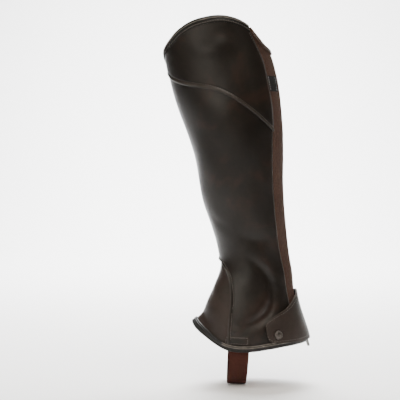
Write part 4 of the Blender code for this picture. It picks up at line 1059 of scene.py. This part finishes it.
def sew_bands():
    """Rows along the top band's lower edge, between the hem band's ridges and along the elastic's tape."""
    rim, hem, edge = (np.linspace(*run, count) for run, count in (
        (rim_run(1.0, 1.0), 900), (hem_run(1.0), 900), (elastic_run(1.0), 200)))
    rows = [(rim, top_fall(rim, TOP_BAND - 0.0021), LAYER_GAP + BINDING_WALL + 0.0002),
            (hem, hem_place(hem, HEM_BAND * 0.795), hem_off(hem) + BINDING_WALL - 0.0002),
            (edge, top_fall(edge, ELASTIC_BAND - 0.0014), BINDING_WALL)]
    return stitches("stitching_bands", rows)


def sew_tab():
    """A row just inside the closing tab's free edges."""
    inset_s, inset_t = 0.017, 0.075
    t = np.linspace(inset_t, 1 - inset_t, 60)
    s = np.linspace(inset_s, 0.985, 400)
    rows = []
    for path_s, path_t in ((np.full(60, inset_s), t), (s, np.full(400, inset_t)),
                           (s, np.full(400, 1 - inset_t)), (np.full(60, 0.975), t)):
        angle, height, off = tab_place(path_s, path_t)
        rows.append((angle, height, off + TAB_WALL))
    return stitches("stitching_tab", rows, pitch=0.0034)


def sew_small():
    """Rows on the sewn-in strap ends and on the elastic beside the zip."""
    rows = []
    turn = np.linspace(-1, 1, 60)
    for middle, level, half_wide, half_tall in PATCHES:
        wide, tall = (half_wide - PATCH_STITCH) / PATCH_DEGREE, half_tall - 0.0014
        for across, up in ((turn, 1), (turn, -1), (1, turn), (-1, turn)):
            rows.append((middle + wide * across + 0 * turn, level + tall * up + 0 * turn,
                         PATCH_RISE - 0.0002))
    rows.append(upright(-0.2880, 0.066, 400,
                        lambda h: past_back(h, ZIP_PAST_BACK - ZIP_WINDOW / 2 - 0.0018), -ELASTIC_DEPTH))
    return stitches("stitching_small", rows)


def sew_label():
    """Pale rows that hold the label down along its two upright edges."""
    height = np.linspace(LABEL_LOW + 0.001, LABEL_HIGH - 0.001, 40)
    rows = [(label_angle(height, share), height, LABEL_WALL) for share in (0.07, 0.80)]
    return stitches("stitching_label", rows, PALE_THREAD, 0.0029)


def make_zip_coil():
    """Closed coil: each turn is a bent wire from the tape over to the middle, half a pitch apart by side."""
    wire = [(1.0, -0.0002), (0.62, 0.0009), (0.20, 0.0013), (-0.10, 0.0009), (-0.16, 0.0002),
            (0.25, -0.0003), (0.80, -0.0006)]
    parts = []
    for side in (-1, 1):
        height = np.arange(-0.2885, 0.0665, COIL_PITCH) + (side + 1) * COIL_PITCH / 4
        angle = past_back(height, ZIP_PAST_BACK)
        place, (across, up, out) = frames_along(angle, height)
        origins = place - out * 0.0008
        axes = np.stack([across * side, up, out], 1)
        path = [(x * COIL_REACH, (k - 3) * 0.00011, z) for k, (x, z) in enumerate(wire)]
        vertices, faces = tube(path, COIL_WIRE, 5)
        name = "zip_coil_inner" if side > 0 else "zip_coil_outer"
        parts.append(repeated(name, vertices, faces, origins, axes, COIL))
    return parts


def turned(profile, steps):
    """A profile of (out, up) points turned round the up axis: rings from the middle outwards and down."""
    turn = np.linspace(0, 2 * np.pi, steps, endpoint=False)
    out, up = np.array(profile, float).T
    points = np.stack([out[:, None] * np.cos(turn), out[:, None] * np.sin(turn),
                       up[:, None] + 0 * turn], -1)
    return points.reshape(-1, 3), ring_faces(len(out), steps)[:, [0, 3, 2, 1]]


def make_stud():
    """Stud cap: a low dome in a raised rounded ring, with a thin washer under it."""
    r, h = STUD_RADIUS, STUD_TALL
    ring = [(r * (0.86 + 0.11 * math.cos(a)), h * (0.80 + 0.20 * math.sin(a)))
            for a in np.linspace(math.pi, -0.6, 12)]
    dome = [(r * share, h * (0.92 - 0.22 * share ** 2)) for share in np.linspace(0.0005, 0.66, 12)]
    profile = dome + [(r * 0.70, h * 0.72)] + ring + [(r, h * 0.45), (r, h * 0.12), (r * 1.04, h * 0.06),
                                                      (r * 1.04, 0.0), (r * 0.0005, 0.0)]
    points, faces = turned(profile, 72)
    knots = TAB["angle"]
    upper, lower, off_top, off_bottom = (np.interp(STUD_ANGLE, knots, TAB[name])
                                         for name in ("upper", "lower", "off_top", "off_bottom"))
    off = off_bottom + (off_top - off_bottom) * (STUD_HEIGHT - lower) / (upper - lower)
    place, (across, up, out) = frames_along(np.array([STUD_ANGLE]), np.array([STUD_HEIGHT]))
    origin = place + out * (off + TAB_WALL + 0.0003)
    piece = repeated("stud_cap", points, faces, origin, np.stack([across, up, out], 1), STUD_METAL)
    piece.modifiers.new("poles", "WELD").merge_threshold = 0.00001
    return piece


def aimed(name, data, place, aim):
    """A lamp or camera that stands at place and looks at aim."""
    thing = bpy.data.objects.new(name, data)
    thing.location = place
    thing.rotation_euler = (Vector(aim) - Vector(place)).to_track_quat("-Z", "Y").to_euler()
    bpy.context.scene.collection.objects.link(thing)
    return thing


def make_stage():
    """Floor that sweeps up into a backdrop: flat, a quarter circle, then upright."""
    floor_level, depth_back, radius, half_wide = STRAP_BOTTOM - 0.0006, 1.6, 0.9, 4.0
    turn = np.linspace(0, math.pi / 2, 24)
    sweep = np.stack([depth_back + radius * np.sin(turn), floor_level + radius * (1 - np.cos(turn))], -1)
    profile = np.concatenate([[(-3.0, floor_level)], sweep, [(depth_back + radius, 4.0)]])
    points = np.stack(np.broadcast_arrays([-half_wide, half_wide], profile[:, :1], profile[:, 1:]), -1)
    material, tree, shader = new_material("paper_backdrop")
    feed(shader, {"Base Color": (0.86, 0.86, 0.86, 1.0), "Roughness": 0.9})
    mesh_from("backdrop", points, grid_faces(1, len(profile) - 1), material)


MIDDLE, ANKLE, WHITE, WARM = (0.0, 0.0, -0.1), (0.0, 0.0, -0.22), (1.0, 1.0, 1.0), (1.0, 0.93, 0.82)
# Name, place, aim, width and height, power, colour and spread in degrees
LIGHTS = [
    ("left_window", (-1.5, -0.87, 0.66), MIDDLE, 0.9, 0.7, 0.90, WARM, 70),
    ("top_box", (0.25, -0.7, 1.5), MIDDLE, 0.8, 0.8, 3.2, WARM, 70),
    ("left_front_panel", (-0.80, -1.38, 0.19), ANKLE, 1.1, 0.3, 1.35, WARM, 70),
    ("right_front", (1.0, -1.1, 0.6), (0.0, 0.0, 0.05), 0.4, 0.4, 0.10, WARM, 70),
    ("front_high", (0.0, -1.25, 0.95), ANKLE, 0.6, 0.6, 1.5, WARM, 70),
    ("right_strip", (1.4, 0.5, 0.1), MIDDLE, 0.3, 1.3, 0.8, WARM, 180),
    ("backdrop_wash", (0.0, 1.2, 1.9), (0.0, 2.6, 0.0), 2.0, 2.0, 115, WHITE, 80),
    ("floor_wash", (0.0, 1.2, 1.5), (0.0, 0.75, -0.35), 1.7, 1.7, 56, WHITE, 75)]


def make_lights():
    """Soft boxes that graze the leather, two washes behind it and an even pale sky."""
    world = bpy.data.worlds.new("studio")
    world.use_nodes = True
    feed(world.node_tree.nodes["Background"], {"Color": (1.0, 1.0, 1.0, 1.0), "Strength": 0.18})
    bpy.context.scene.world = world
    for name, place, aim, wide, tall, power, colour, spread in LIGHTS:
        lamp = bpy.data.lights.new(name, "AREA")
        lamp.energy, lamp.color, lamp.spread = power, colour, math.radians(spread)
        lamp.shape, lamp.size, lamp.size_y = "RECTANGLE", wide, tall
        aimed(name, lamp, place, aim)


def make_camera():
    """The photo's camera: 400 pixels take in 508 mm at the tube's middle plane."""
    place, aim = (-0.0381, -1.4, -0.05715), (-0.0381, 0.0, -0.1143)
    wide = 0.508
    camera = bpy.data.cameras.new("camera")
    camera.sensor_width = 36.0
    camera.lens = camera.sensor_width * (Vector(aim) - Vector(place)).length / wide
    bpy.context.scene.camera = aimed("camera", camera, place, aim)


# Each sheet: how it is made, its slot, the node that it replaces, and its cut, which is the width round
# the leg, the length up it and the share of that rectangle that is cloth
SHEETS = [
    (make_outer_leather, "leather", "outer_panel", (0.215, 0.412, 0.65)),
    (make_inner_leather, "leather", "inner_panel", (0.110, 0.372, 0.88)),
    (make_yoke, "leather", "yoke", (0.190, 0.135, 0.48)),
    (make_gusset, "soft_leather", "gusset", (0.125, 0.110, 0.77)),
    (make_lining, "suede", "lining", (0.300, 0.412, 0.775)),
    (make_elastic, "elastic", "elastic_panel", (0.042, 0.392, 0.92)),
    (make_elastic_band, "elastic", "elastic_top_binding", (0.049, 0.018, 0.99)),
    (make_top_band, "binding", "top_binding", (0.300, 0.0235, 1.0)),
    (make_hem_band, "binding", "hem_binding", (0.318, 0.0255, 1.0)),
    (make_tab, "leather", "heel_tab", (0.125, 0.062, 0.85)),
    (make_label, "label", "side_label", (0.0195, 0.020, 1.0)),
    (make_strap, "strap", "stirrup_strap", (0.025, 0.158, 1.0)),
    (lambda: make_zip_tape("zip_tape_by_elastic", -1), "zip_tape", "zip_tape_outer", (0.0100, 0.372, 0.78)),
    (lambda: make_zip_tape("zip_tape_by_leather", 1), "zip_tape", "zip_tape_inner", (0.0100, 0.372, 0.78))]
SEWING = [(sew_leather, "leather"), (sew_yoke, "leather"), (sew_bands, "binding"), (sew_tab, "leather"),
          (sew_small, "leather"), (sew_label, "label")]


def make_chap():
    """All pieces of the chap. The slider and its pull keep their shapes."""
    sheets = [declare(make(), slot_name, node) for make, slot_name, node, cut in SHEETS]
    coil_outer, coil_inner = make_zip_coil()
    declare(coil_outer, "zip_coil", "zip_teeth")
    declare(coil_inner, "zip_coil")
    declare(make_stud(), "metal", "press_stud")
    for name in ("zip_slider", "pull_tab"):
        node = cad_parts[name]
        node.data.materials.clear()
        node.data.materials.append(GUNMETAL)
    for sew, slot_name in SEWING:
        declare(sew(), slot_name)


make_camera()
make_stage()
make_lights()
make_chap()
